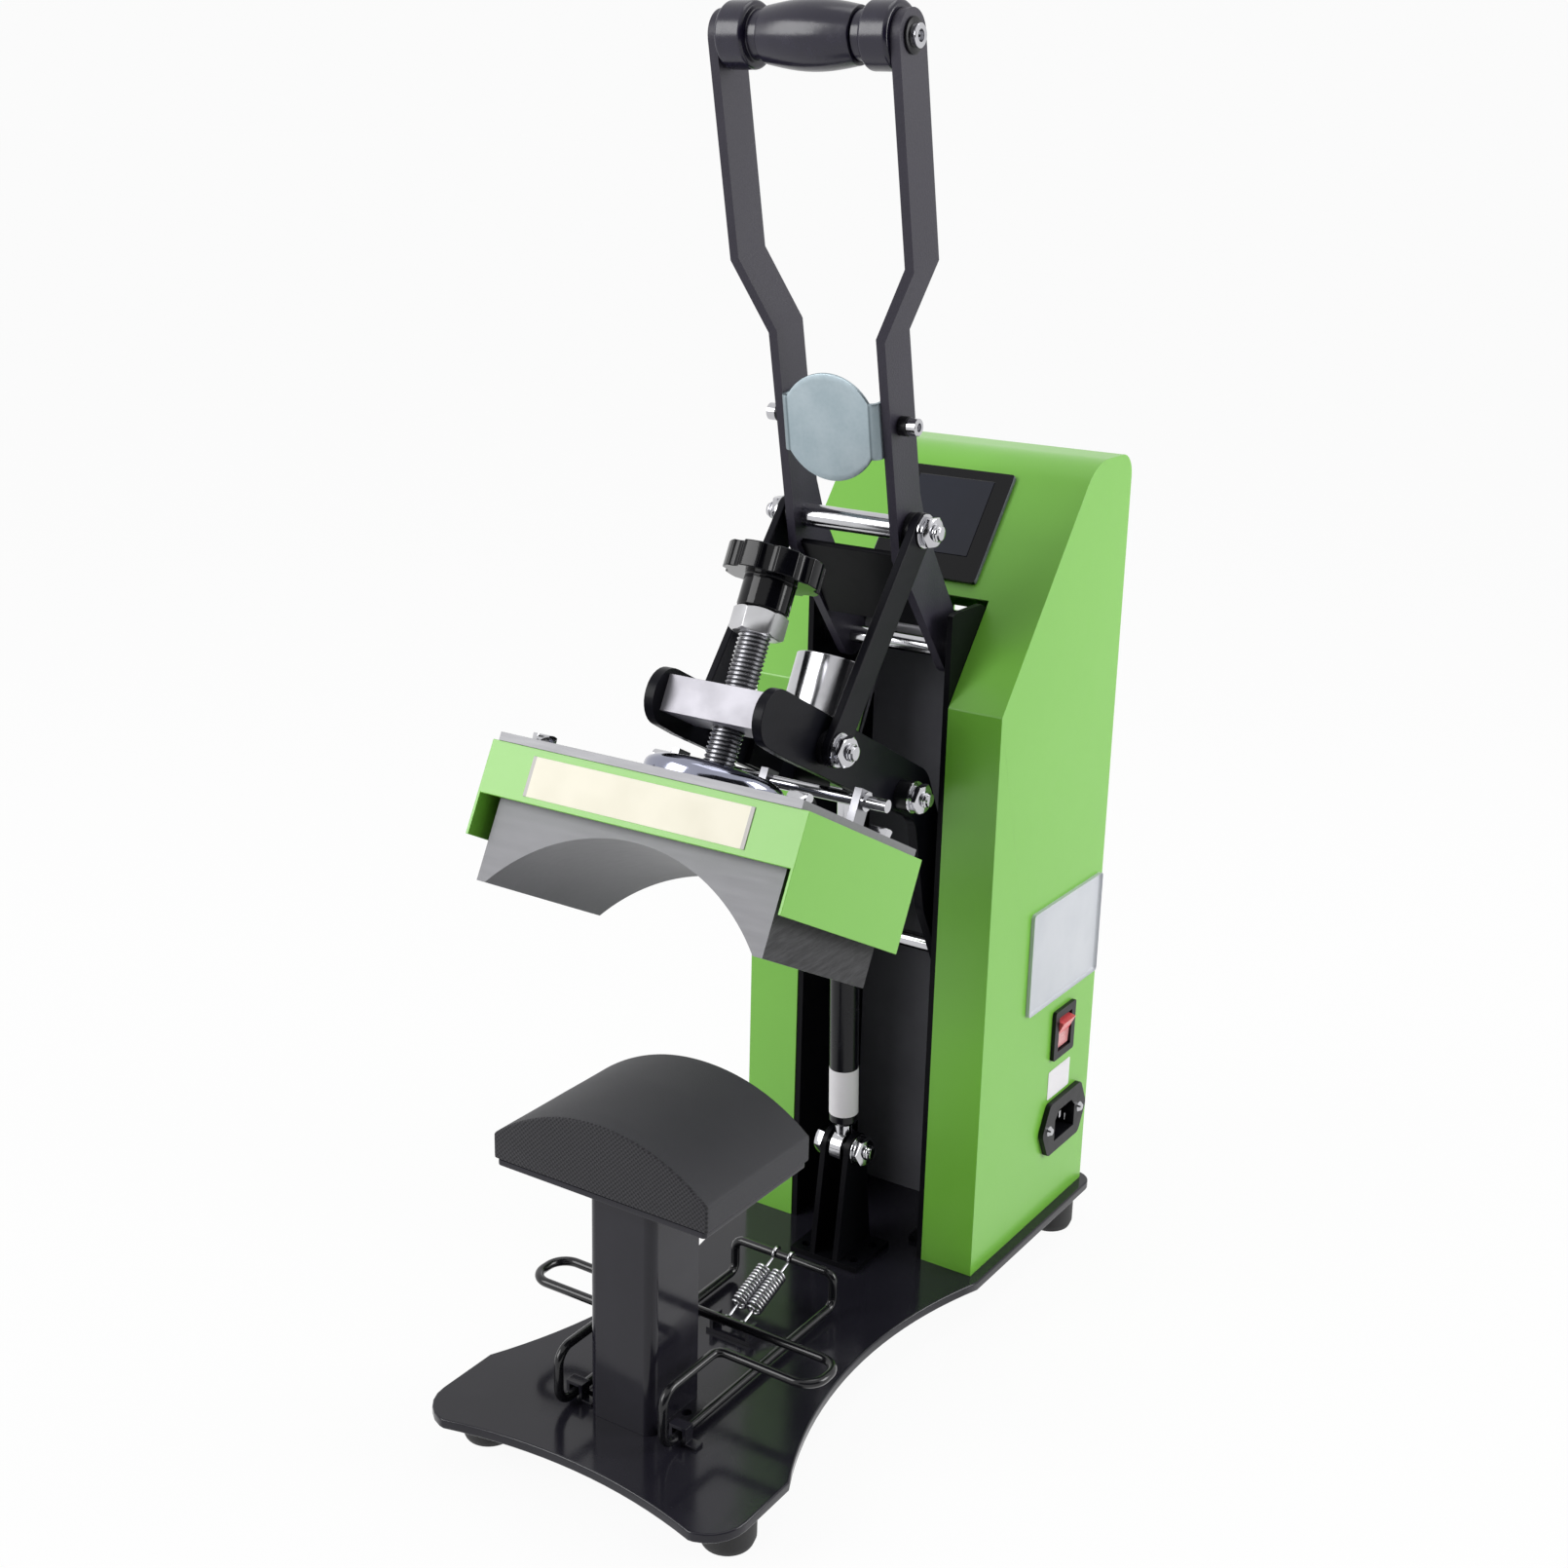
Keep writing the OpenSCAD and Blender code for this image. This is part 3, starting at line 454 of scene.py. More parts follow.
def bend(points):
    """The wire's centreline: straight runs joined by arcs of each point's radius."""
    line = []
    for i, (*here, radius) in enumerate(points):
        b = Vector(here)
        if radius <= 0 or i in (0, len(points) - 1):
            line.append(b)
            continue
        a = Vector(points[i - 1][:3])
        c = Vector(points[i + 1][:3])
        u, v = (a - b).normalized(), (c - b).normalized()
        half = u.angle(v) / 2
        centre = b + (u + v).normalized() * (radius / math.sin(half))
        start = b + u * (radius / math.tan(half)) - centre
        end = b + v * (radius / math.tan(half)) - centre
        sweep = math.pi - 2 * half
        for k in range(ARC_STEPS + 1):
            t = sweep * k / ARC_STEPS
            arm = start * math.sin(sweep - t) + end * math.sin(t)
            line.append(centre + arm / math.sin(sweep))
    return line


def drawn_wire(name, line, diameter, closed=False, sides=4):
    """Round wire along a line, as a mesh. Lengths are in mm."""
    curve = bpy.data.curves.new(name, "CURVE")
    curve.dimensions = "3D"
    curve.bevel_depth = diameter / 2 * MM
    curve.bevel_resolution = sides
    curve.use_fill_caps = not closed
    spline = curve.splines.new("POLY")
    spline.points.add(len(line) - 1)
    for point, place in zip(spline.points, line):
        point.co = (*(place * MM), 1)
    spline.use_cyclic_u = closed
    piece = brought(name, curve)
    alone(piece)
    bpy.ops.object.convert(target="MESH")
    piece.name = name
    smooth(piece, 60)
    return piece


half_wire = [
    (0, CLAMP_REAR, CLAMP_REAR_UP, 0),
    (CLAMP_X, CLAMP_REAR, CLAMP_REAR_UP, 5),
    (CLAMP_X, CLAMP_REAR, RAIL_UP, 5),
    (CLAMP_X, RAIL_FRONT, RAIL_UP, 8),
    (CLAMP_X, RAIL_FRONT, ARCH_UP, 8),
    (CLAMP_X, ARCH_REAR, ARCH_UP, 5),
    (EAR_X, ARCH_REAR, ARCH_UP - 0.5, 10),
    (EAR_X, EAR_REAR, ARCH_UP - 1, 10),
    (0, EAR_REAR, ARCH_UP - 1, 0),
]
side = bend(half_wire)
other = [Vector((-p.x, p.y, p.z)) for p in side[1:-1]]
wire = drawn_wire("clamp_wire_bent", side + other[::-1], CLAMP_WIRE, True, 6)
gloss_wire, place = finish("black_wire_coat")
nick = ramp(grain(place, 220, 4), (0.62, 0), (0.72, 1))
coat(
    gloss_wire,
    Base_Color=blend(nick * 0.12, (0.008, 0.008, 0.01), (0.1, 0.1, 0.105)),
    Roughness=grain(place, 160, 3) * 0.08 + 0.14,
    Specular_IOR_Level=0.35,
    Coat_Weight=0.15,
    Coat_Roughness=0.08,
    Normal=bump(grain(place, 900, 2), 0.00002, 0.5),
)
paint(gloss_wire, wire.name)
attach(wire, "cap_clamp")
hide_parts("clamp_wire")
dressed("clamp_clips", 0.35, gloss_black)

# --------------------------------------------
# Return springs: two tension springs in bright wire, hooked between the
# clamp's rear bar and a pin in a small bracket.
# --------------------------------------------
SPRING_WIRE = 1.35
SPRING_RADIUS = 3.6
SPRING_TURNS = 13
SPRING_SIDE = 4.5
SPRING_NECK = 10.5
SPRING_PIN = (-58.5, Z0 + 6)
PIN_RADIUS = 1.5
HOOK_PLAY = 0.35
HOOK_STEPS = 12
TURN_STEPS = 24
SPRING_FOOT = Vector((0, *SPRING_PIN))
SPRING_TOP = Vector((0, CLAMP_REAR, CLAMP_REAR_UP))


def spring_line(x):
    """Centreline of one spring: hook, neck, coil, neck, hook."""
    a, b = SPRING_FOOT + Vector((x, 0, 0)), SPRING_TOP + Vector((x, 0, 0))
    d = (b - a).normalized()
    n = Vector((0, -d.z, d.y))
    size = (b - a).length
    low_hook = PIN_RADIUS + SPRING_WIRE / 2 + HOOK_PLAY
    high_hook = CLAMP_WIRE / 2 + SPRING_WIRE / 2 + HOOK_PLAY
    start, stop = SPRING_NECK, size - SPRING_NECK
    line = []
    for k in range(HOOK_STEPS + 1):
        t = math.radians(200 - 200 * k / HOOK_STEPS)
        line.append(a + d * low_hook * math.cos(t) + n * low_hook * math.sin(t))
    for k in (1, 2, 3):
        line.append(a + d * (low_hook + (start - 1.8 - low_hook) * k / 3))
    total = SPRING_TURNS * TURN_STEPS
    for i in range(total + 1):
        t = 2 * math.pi * i / TURN_STEPS
        w = min(1, min(i, total - i) / (TURN_STEPS / 2))
        r = SPRING_RADIUS * w
        s = start + (stop - start) * i / total
        line.append(a + d * s + n * r * math.sin(t) + Vector((r * math.cos(t), 0, 0)))
    for k in (0, 1, 2):
        line.append(a + d * (stop + 1.8 + (size - high_hook - stop - 1.8) * k / 3))
    for k in range(HOOK_STEPS + 1):
        t = math.radians(180 - 200 * k / HOOK_STEPS)
        line.append(b + d * high_hook * math.cos(t) + n * high_hook * math.sin(t))
    return line


def plated(name, colour, roughness, streaks=0.06, stretch=(1, 1, 1)):
    """Bright metal with fine scratches, a slight cloud and small stains."""
    material, place = finish(name)
    cloud = ramp(grain(place, 70, 4), (0.35, 0), (0.75, 1))
    scratch = grain(place, 1400, 3, 0.7, stretch)
    dull = tuple(c * 0.72 for c in colour)
    return coat(
        material,
        Base_Color=blend(cloud * 0.45, colour, dull),
        Metallic=1.0,
        Roughness=cloud * 0.08 + scratch * streaks + roughness,
        Normal=bump(scratch, 0.000012, 0.6),
    )


chrome = plated("bright_plating", (0.56, 0.56, 0.585), 0.07)


def added(name, primitive, **settings):
    """A new object made by one of Blender's primitives."""
    bpy.ops.object.select_all(action="DESELECT")
    primitive(**settings)
    bpy.context.object.name = name
    return bpy.context.object


def settle(piece):
    """Moves an object's place, turn and scale into its mesh."""
    alone(piece)
    bpy.ops.object.transform_apply(location=True, rotation=True, scale=True)


def turned(name, stations, axis, sides=40, degrees=34):
    """A turned piece along X: stations of x and radius from one end on, round an axis at y, z."""
    (x, radius), *rest = stations
    piece = added(
        name,
        bpy.ops.mesh.primitive_circle_add,
        vertices=sides,
        radius=radius * MM,
        fill_type="NGON",
        location=(x * MM, axis[0] * MM, axis[1] * MM),
        rotation=(0, math.pi / 2, 0),
    )
    settle(piece)
    edit(piece)
    for next_x, next_radius in rest:
        step = ((next_x - x) * MM, 0, 0)
        bpy.ops.mesh.extrude_region_move(TRANSFORM_OT_translate={"value": step})
        by = next_radius / radius
        middle = (next_x * MM, axis[0] * MM, axis[1] * MM)
        bpy.ops.transform.resize(value=(1, by, by), center_override=middle)
        x, radius = next_x, next_radius
    bpy.ops.object.mode_set(mode="OBJECT")
    face_out(piece)
    smooth(piece, degrees)
    return piece


SIDES = ((-1, "left"), (1, "right"))
springs = []
for side, which in SIDES:
    line = spring_line(side * SPRING_SIDE)
    springs.append(drawn_wire("return_spring_" + which, line, SPRING_WIRE, False, 3))
for spring in springs:
    paint(chrome, spring.name)
    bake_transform(spring)
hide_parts("clamp_springs")
dressed("spring_anchors", 0.3, gloss_black)


def fitted(piece, body, material, slot, *replaced):
    """Puts a finish on a piece and hangs it on its body."""
    paint(material, piece.name)
    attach(piece, body)
    if replaced:
        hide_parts(*replaced)


def bright(piece, body, *replaced):
    """Hangs a plated piece on its body."""
    fitted(piece, body, chrome, "bright_steel", *replaced)


pin_line = [(-12.6, 1.1), (-12.2, PIN_RADIUS), (12.2, PIN_RADIUS), (12.6, 1.1)]
bright(turned("anchor_pin", pin_line, SPRING_PIN, 20), "base")

# --------------------------------------------
# Housing: 2 mm sheet folded into a tower with a sloping front, coated lime
# green, open at the front where the linkage works, with a cover behind.
# --------------------------------------------
lime_coat, place = finish("lime_powder_coat")
cloud = ramp(grain(place, 9, 3), (0.3, 0), (0.75, 1))
speck = ramp(grain(place, 300, 3), (0.66, 0), (0.76, 1))
coat(
    lime_coat,
    Base_Color=blend(cloud * 0.3 + speck * 0.1, (0.19, 0.53, 0.05), (0.165, 0.47, 0.042)),
    Roughness=cloud * 0.05 + grain(place, 120, 3) * 0.06 + 0.32,
    Coat_Weight=0.32,
    Coat_Roughness=0.2,
    Normal=bump(grain(place, 620, 2), 0.00003, 0.4),
)
for name, width in (("housing_shell", 0.8), ("back_cover", 0.4)):
    dressed(name, width, lime_coat, 3)


def plain(material, slot, *names):
    """CAD nodes that keep their mesh, with their finish; slot is not used."""
    paint(material, *names)


plain(chrome, "bright_steel", "housing_screws", "inlet_screws")

# --------------------------------------------
# Bare labels: a large one of satin foil and a small white one on the
# housing's right side, left without any print.
# --------------------------------------------
LABEL_WALL = 70.0
LABEL_THICK = 0.25


def label_sheet(name, colour, worn, roughness, patches):
    """Label foil or paper, a little faded in patches."""
    material, place = finish(name)
    fade = ramp(grain(place, patches, 4), (0.4, 0), (0.7, 1))
    return coat(
        material,
        Base_Color=blend(fade * 0.4, colour, worn),
        Roughness=fade * 0.1 + roughness,
        Normal=bump(grain(place, 500, 2), 0.00002, 0.4),
    )


def label(name, low, high, round_by, material):
    """A thin plate on the right wall between two points (y, z), its corners rounded. In mm."""
    centre = (LABEL_WALL + LABEL_THICK / 2, (low[0] + high[0]) / 2, (low[1] + high[1]) / 2)
    size = (LABEL_THICK, high[0] - low[0], high[1] - low[1])
    spot = [length * MM for length in centre]
    piece = added(name, bpy.ops.mesh.primitive_cube_add, size=1, location=spot)
    piece.scale = [length * MM for length in size]
    settle(piece)
    bpy.ops.object.mode_set(mode="EDIT")
    bpy.ops.mesh.select_all(action="DESELECT")
    bpy.ops.object.mode_set(mode="OBJECT")
    for edge in piece.data.edges:
        p, q = (piece.data.vertices[i].co for i in edge.vertices)
        edge.select = abs((p - q).x) > 1e-6
    bpy.ops.object.mode_set(mode="EDIT")
    bpy.ops.mesh.select_mode(type="EDGE")
    bpy.ops.mesh.bevel(offset=round_by * MM, segments=5)
    bpy.ops.object.mode_set(mode="OBJECT")
    smooth(piece, 30)
    paint(material, name)
    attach(piece, "base")


foil = label_sheet("bare_label_foil", (0.6, 0.62, 0.66), (0.5, 0.53, 0.57), 0.35, 40)
paper = label_sheet("bare_white_label", (0.82, 0.8, 0.83), (0.74, 0.72, 0.75), 0.5, 60)
label("side_label_bare", (103, 154), (184.5, 211), 2.0, foil)
label("inlet_label_bare", (136, 93.5), (162, 110), 1.0, paper)

# --------------------------------------------
# Controls: the panel with its dark window on the slope, and the red rocker
# switch and the mains inlet with its bright pins in the right side.
# --------------------------------------------


def plastic(name, colour, roughness, lighter=1.8, gloss=0.0, specular=0.35):
    """Moulded plastic with a faint spark-eroded grain and small rub marks."""
    material, place = finish(name)
    rub = ramp(grain(place, 120, 4), (0.5, 0), (0.8, 1))
    return coat(
        material,
        Base_Color=blend(rub * 0.3, colour, tuple(min(1, c * lighter) for c in colour)),
        Roughness=rub * 0.1 + roughness,
        Specular_IOR_Level=specular,
        Coat_Weight=gloss,
        Coat_Roughness=0.06,
        Normal=bump(grain(place, 1300, 2), 0.000015, 0.5),
    )


satin_black = plastic("satin_black_plastic", (0.006, 0.006, 0.008), 0.34, specular=0.22)
gloss_plastic = plastic("gloss_black_plastic", (0.0025, 0.0025, 0.004), 0.07, 1.6, specular=0.24)
grip_black = plastic("grip_black_plastic", (0.011, 0.009, 0.023), 0.22, specular=0.5)
red_plastic = plastic("red_rocker_plastic", (0.78, 0.1, 0.11), 0.22, 1.15, 0.3)
rocker_sheen_plastic = plastic("painted_sheen_rocker_plastic", (0.74, 0.3, 0.31), 0.26, 1.15, 0.3)
screen = plastic("dark_screen_glass", (0.009, 0.011, 0.022), 0.12, 1.3)
board_green = plastic("board_laminate", (0.02, 0.12, 0.05), 0.4)
panel_rim_highlight = plastic("painted_highlight_panel_rim", (0.16, 0.165, 0.2), 0.25)
panel = dressed("control_panel", 0.4, gloss_plastic)
dressed("switch_bezel", 0.4, satin_black)
inlet = dressed("power_inlet", 0.4, satin_black)
rocker = dressed("rocker_switch", 0.5, red_plastic)
PANEL_RIM = 30.5 * MM
ROCKER_MIDDLE = 129.5 * MM
PIN_TIP = 57.2
PIN_HALF = (1.02, 2.02)
PINS = [(154.5 + y, 76 + z) for y, z in ((-7, -2), (0, 2), (7, -2))]


def two_tone(piece, material, chosen):
    """Gives the faces that chosen picks a second material."""
    piece.data.materials.append(material)
    for face in piece.data.polygons:
        if chosen(face):
            face.material_index = 1


def on_pin(face):
    """Whether a face of the inlet lies on one of its three pins."""
    spot = face.center / MM
    away = [(abs(spot.y - y), abs(spot.z - z)) for y, z in PINS]
    return spot.x > PIN_TIP and any(y < PIN_HALF[0] and z < PIN_HALF[1] for y, z in away)


# The panel's left and right side faces get a lighter material: a painted highlight along its rim.
two_tone(panel, panel_rim_highlight, lambda face: abs(face.center.x) > PANEL_RIM)
# The rocker's lower half gets a lighter, pinker copy of its red: a painted sheen.
two_tone(rocker, rocker_sheen_plastic, lambda face: face.center.z < ROCKER_MIDDLE)
two_tone(inlet, chrome, on_pin)
plain(screen, "display", "display_glass")
plain(board_green, "board", "control_board")

# --------------------------------------------
# Inner frame: two black side plates and a grey back plate that carry the
# pivots, tied by rods, and the small brackets in the same black coat.
# --------------------------------------------
frame_black = black_coat("frame_black_coat", (0.0035, 0.0035, 0.005), 0.36, 0.5, 0.07)
back_grey = black_coat("back_plate_coat", (0.11, 0.11, 0.125), 0.45, 0.5)
for name, material in (
    ("frame_plate_left", frame_black),
    ("frame_plate_right", frame_black),
    ("frame_back", back_grey),
    ("strut_bracket", frame_black),
    ("magnet_bracket", frame_black),
    ("handle_web", frame_black),
):
    dressed(name, 0.4, material)
bar_satin = plated("satin_bar_steel", (0.4, 0.39, 0.43), 0.34, 0.1, (0.2, 1, 1))
coat(bar_satin, Metallic=0.3, Specular_IOR_Level=0.4)
for name in ("spacer_rod", "arm_crossbar"):
    dressed(name, 0.5, bar_satin)
plain(chrome, "bright_steel", "arm_pivot_rod", "rear_pivot_rod")

# --------------------------------------------
# Gas strut: a dark lacquered tube with a bright foot, a bare label round it
# and a ground rod.
# --------------------------------------------
STRUT_LOW = (41.0, Z0 + 61)
STRUT_TOP = (31.3999, 286.9995)
STRUT_FOOT = Vector((0, *STRUT_LOW))
STRUT_FITTING = 13.9
strut_way = (Vector((0, *STRUT_TOP)) - STRUT_FOOT).normalized()
strut_lacquer, place = finish("grey_strut_lacquer")
scuff = ramp(grain(place, 80, 4), (0.5, 0), (0.78, 1))
coat(
    strut_lacquer,
    Base_Color=blend(scuff * 0.3, (0.006, 0.006, 0.0085), (0.016, 0.016, 0.02)),
    Roughness=scuff * 0.1 + 0.22,
    Specular_IOR_Level=0.26,
    Coat_Weight=0.03,
    Coat_Roughness=0.1,
    Normal=bump(grain(place, 800, 2), 0.00002, 0.4),
)
tube = dressed("strut_cylinder", 0.4, strut_lacquer, 3)
two_tone(tube, chrome, lambda face: (face.center / MM - STRUT_FOOT).dot(strut_way) < STRUT_FITTING)
dressed("strut_rod", 0.3, chrome, 3)
tag = turned("strut_label_bare", [(20, 7.3), (20, 7.62), (46, 7.62), (46, 7.3)], (0, 0), 64)
along_strut = Vector((1, 0, 0)).rotation_difference(strut_way).to_matrix().to_4x4()
tag.matrix_world = Matrix.Translation(STRUT_FOOT * MM) @ along_strut
settle(tag)
paint(paper, tag.name)
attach(tag, "strut_tube")

# --------------------------------------------
# Bolts of the linkage: plated shanks, hexagon heads and nuts on washers, and
# black sleeves that keep the bars apart.
# --------------------------------------------
LINK_LOW = (-39.8697, 327.7929)
LINK_TOP = (30.0, Z0 + 391)
NUT_FLATS = 13
NUT_THICK = 3.8 * NUT_FLATS / 12
NUT_SEAT = 38.2
BOLT_RADIUS = 4
BOLT_PITCH = 1.25


def hexagon(name, x, side, axis, flats, thick, turn=0):
    """A hexagon nut with both its faces chamfered, seated at x on one side of a joint."""
    half = flats / 2
    far = x + side * thick
    nut = added(
        name,
        bpy.ops.mesh.primitive_cylinder_add,
        vertices=6,
        radius=half / math.cos(math.pi / 6) * MM,
        depth=thick * MM,
        location=((x + far) / 2 * MM, axis[0] * MM, axis[1] * MM),
        rotation=(math.radians(turn), math.pi / 2, 0),
    )
    settle(nut)
    low, high = sorted((x, far))
    flat, corner, slope = half * 0.97, half * 1.17, half * 0.11
    outline = [(low, flat), (low + slope, corner), (high - slope, corner), (high, flat)]
    cone = turned(name + "_chamfer", outline, axis, 48)
    modify(nut, "BOOLEAN", operation="INTERSECT", object=cone, solver="EXACT")
    bpy.data.objects.remove(cone)
    rounded(nut, 0.14, 2, 24)
    smooth(nut, 30)
    return nut


def outward(line, side, x=0):
    """Stations laid off to one side from x."""
    return [(x + side * along, radius) for along, radius in line]


def thread(length, radius):
    """Stations of a threaded bolt end with a rounded tip."""
    root = radius * 0.86
    line = [(0, root)]
    for i in range(max(1, int((length - 0.7) / BOLT_PITCH))):
        line += [(BOLT_PITCH * (i + 0.3), radius), (BOLT_PITCH * (i + 0.6), radius)]
        line.append((BOLT_PITCH * (i + 1), root))
    return line + [(length - 0.25, radius * 0.8), (length, radius * 0.6)]


def nut_stack(name, x, side, axis, turn):
    """Washer, spring washer, nut and the bolt's threaded end on one side of a joint."""
    wide, slim = NUT_FLATS / 2 + 1.5, NUT_FLATS / 2 + 0.2
    washer = [(0, wide - 0.2), (0.2, wide), (0.8, wide), (1.0, wide - 0.2)]
    spring = [(1.0, slim - 0.15), (1.15, slim), (2.1, slim), (2.2, slim - 0.2)]
    end = outward(thread(3.8, BOLT_RADIUS), side, x + side * 5.6)
    parts = [
        turned(name, outward(washer, side, x), axis),
        turned(name + "_spring", outward(spring, side, x), axis),
        hexagon(name + "_nut", x + side * 2.2, side, axis, NUT_FLATS, NUT_THICK, turn),
        turned(name + "_end", end, axis, 32),
    ]
    alone(parts[0])
    for part in parts:
        part.select_set(True)
    bpy.ops.object.join()
    parts[0].name = name
    return parts[0]


def shank(name, low, high, axis):
    """The plain part of a bolt."""
    low, high = sorted((low, high))
    return turned(name, [(low, BOLT_RADIUS), (high, BOLT_RADIUS)], axis, 32)


def sleeve(name, body, side, ends, radius, axis):
    """A black sleeve on a bolt, between two distances from the middle."""
    low, high = sorted(side * x for x in ends)
    slim = radius - 0.3
    line = [(low, slim), (low + 0.3, radius), (high - 0.3, radius), (high, slim)]
    fitted(turned(name, line, axis, 48), body, satin_black, "black_plastic")


def once(first, name):
    """A CAD node that only the first of several pieces replaces."""
    return (name,) if first else ()


bright(shank("strut_bolt_shank", -8.6, 8.6, STRUT_LOW), "base", "strut_bolt")
bright(hexagon("strut_bolt_head", -8.4, -1, STRUT_LOW, NUT_FLATS, 5.6, 10), "base")
bright(nut_stack("strut_bolt_nut", 8.4, 1, STRUT_LOW, 20), "base")
bright(shank("strut_top_shank", -38.5, 38.5, STRUT_TOP), "arm", "strut_top_bolt")
stepped = [(-38.5, BOLT_RADIUS), (-26, BOLT_RADIUS), (-26, 5.5), (26, 5.5), (26, BOLT_RADIUS)]
stepped.append((38.5, BOLT_RADIUS))
bright(turned("link_top_shank", stepped, LINK_TOP, 40), "handle", "top_pivot_tube")
for side, which in SIDES:
    bright(nut_stack("strut_top_nut_" + which, 38 * side, side, STRUT_TOP, 12 * side), "arm")
    sleeve("strut_top_sleeve_" + which, "arm", side, (31, 38), 7.5, STRUT_TOP)
    sleeve("strut_eye_sleeve_" + which, "arm", side, (4.2, 26), 6.5, STRUT_TOP)
    top_nut = nut_stack("link_top_nut_" + which, NUT_SEAT * side, side, LINK_TOP, 25 * side)
    bright(top_nut, "handle")
    sleeve("link_top_sleeve_" + which, "handle", side, (30.5, 33.8), 8, LINK_TOP)
    low_shank = shank("link_low_shank_" + which, 26 * side, 38.5 * side, LINK_LOW)
    bright(low_shank, "arm", *once(side < 0, "link_bolts"))
    low_head = hexagon("link_low_head_" + which, 26 * side, -side, LINK_LOW, NUT_FLATS, 5, 5)
    bright(low_head, "arm")
    low_nut = nut_stack("link_low_nut_" + which, NUT_SEAT * side, side, LINK_LOW, 17 * side)
    bright(low_nut, "arm")
    sleeve("link_low_sleeve_" + which, "arm", side, (31, 33.8), 8, LINK_LOW)

# --------------------------------------------
# Arm and links: flat steel bars with rounded ends, satin black coat.
# --------------------------------------------
satin_coat = black_coat("satin_black_coat", (0.0055, 0.0055, 0.0085), 0.32, 0.6)
for name in ("arm_plate_left", "arm_plate_right", "link_left", "link_right"):
    dressed(name, 0.7, satin_coat, 3)

# --------------------------------------------
# Handle: two cranked bars in a dark wrinkle coat, joined by the grip.
# --------------------------------------------
wrinkle, place = finish("fine_wrinkle_coat")
ridge = place.node("ShaderNodeTexVoronoi", {}, {"Vector": place, "Scale": 1100.0}, "Distance")
worn = ramp(grain(place, 50, 4), (0.45, 0), (0.8, 1))
coat(
    wrinkle,
    Base_Color=blend(worn * 0.4 + ridge * 0.2, (0.02, 0.0175, 0.03), (0.036, 0.032, 0.048)),
    Roughness=worn * 0.08 + ridge * 0.1 + 0.4,
    Specular_IOR_Level=0.35,
    Normal=bump(ridge + grain(place, 900, 3), 0.00008, 0.6),
)
for name in ("handle_bar_left", "handle_bar_right"):
    dressed(name, 0.7, wrinkle, 3)
for name in ("grip_barrel", "grip_collars"):
    dressed(name, 0.5, grip_black, 3)
HANDLE_LEAN = math.radians(12)


def on_handle(across, up):
    """Y and z of a spot on the handle, given from its pivot as if the handle stood upright."""
    sine, cosine = math.sin(HANDLE_LEAN), math.cos(HANDLE_LEAN)
    return LINK_TOP[0] + across * cosine - up * sine, LINK_TOP[1] + across * sine + up * cosine


GRIP_AXIS = on_handle(0, 218)
GRIP_WASHER = [(47.5, 7.2), (47.7, 7.5), (48.5, 7.5), (48.7, 7.2)]
GRIP_CAP = [(48.7, 4.7), (48.9, 5), (51.1, 5), (51.4, 4.7), (51.4, 2.6), (49.6, 2.4)]
bright(shank("grip_shank", -47.4, 47.4, GRIP_AXIS), "handle", "grip_bolt")
for side, which in SIDES:
    washer = turned("grip_washer_" + which, outward(GRIP_WASHER, side), GRIP_AXIS, 48)
    fitted(washer, "handle", satin_black, "black_plastic")
    bright(turned("grip_screw_" + which, outward(GRIP_CAP, side), GRIP_AXIS, 48), "handle")

# --------------------------------------------
# Magnet and keeper: a bright round electromagnet on the arm and the disc on
# the handle that it holds, one zinc plated sheet with both ends folded back.
# --------------------------------------------
zinc, place = finish("blue_zinc_plate")
spangle = place.node("ShaderNodeTexVoronoi", {}, {"Vector": place, "Scale": 520.0}, "Distance")
cloud = ramp(grain(place, 60, 5), (0.35, 0), (0.7, 1))
# Painted shade: the plating is darkened along each fold and, less, on the folded-back ends.
from_middle = axes(place)[0].taken("ABSOLUTE") / (30 * MM)
fold_shade = ramp(from_middle, (0.7, 0), (0.727, 0.85), (0.76, 0.3), (0.87, 0.5))
zinc_colour = blend(cloud * 0.5 + spangle * 0.3, (0.33, 0.41, 0.45), (0.46, 0.53, 0.57))
coat(
    zinc,
    Base_Color=blend(fold_shade, zinc_colour, (0.1, 0.13, 0.145)),
    Metallic=0.85,
    Roughness=cloud * 0.08 + spangle * 0.1 + 0.34,
    Normal=bump(spangle + grain(place, 900, 2), 0.00003, 0.4),
)
DISC_UP = 50.5
DISC_RADIUS = 25
FOLD_AT = 21.5
FOLD_RADIUS = 3.5
FLANGE_END = 19
FLANGE_HALF = 13
SHEET_THICK = 2
ROWS = 17


def disc_stations():
    """The middle of the sheet from flange end to flange end: x, y and half the height there."""
    turn_at = math.asin(FOLD_AT / DISC_RADIUS)
    angles = [turn_at * i / 24 for i in range(25)]
    half = [(DISC_RADIUS * math.sin(a), 0, DISC_RADIUS * math.cos(a)) for a in angles]
    for i in range(1, 9):
        a = math.pi / 2 * i / 8
        x, y = FOLD_AT + FOLD_RADIUS * math.sin(a), FOLD_RADIUS * (1 - math.cos(a))
        half.append((x, y, FLANGE_HALF))
    half += [(FOLD_AT + FOLD_RADIUS, y, FLANGE_HALF) for y in (8, 13, FLANGE_END)]
    return [(-x, y, h) for x, y, h in half[:0:-1]] + half


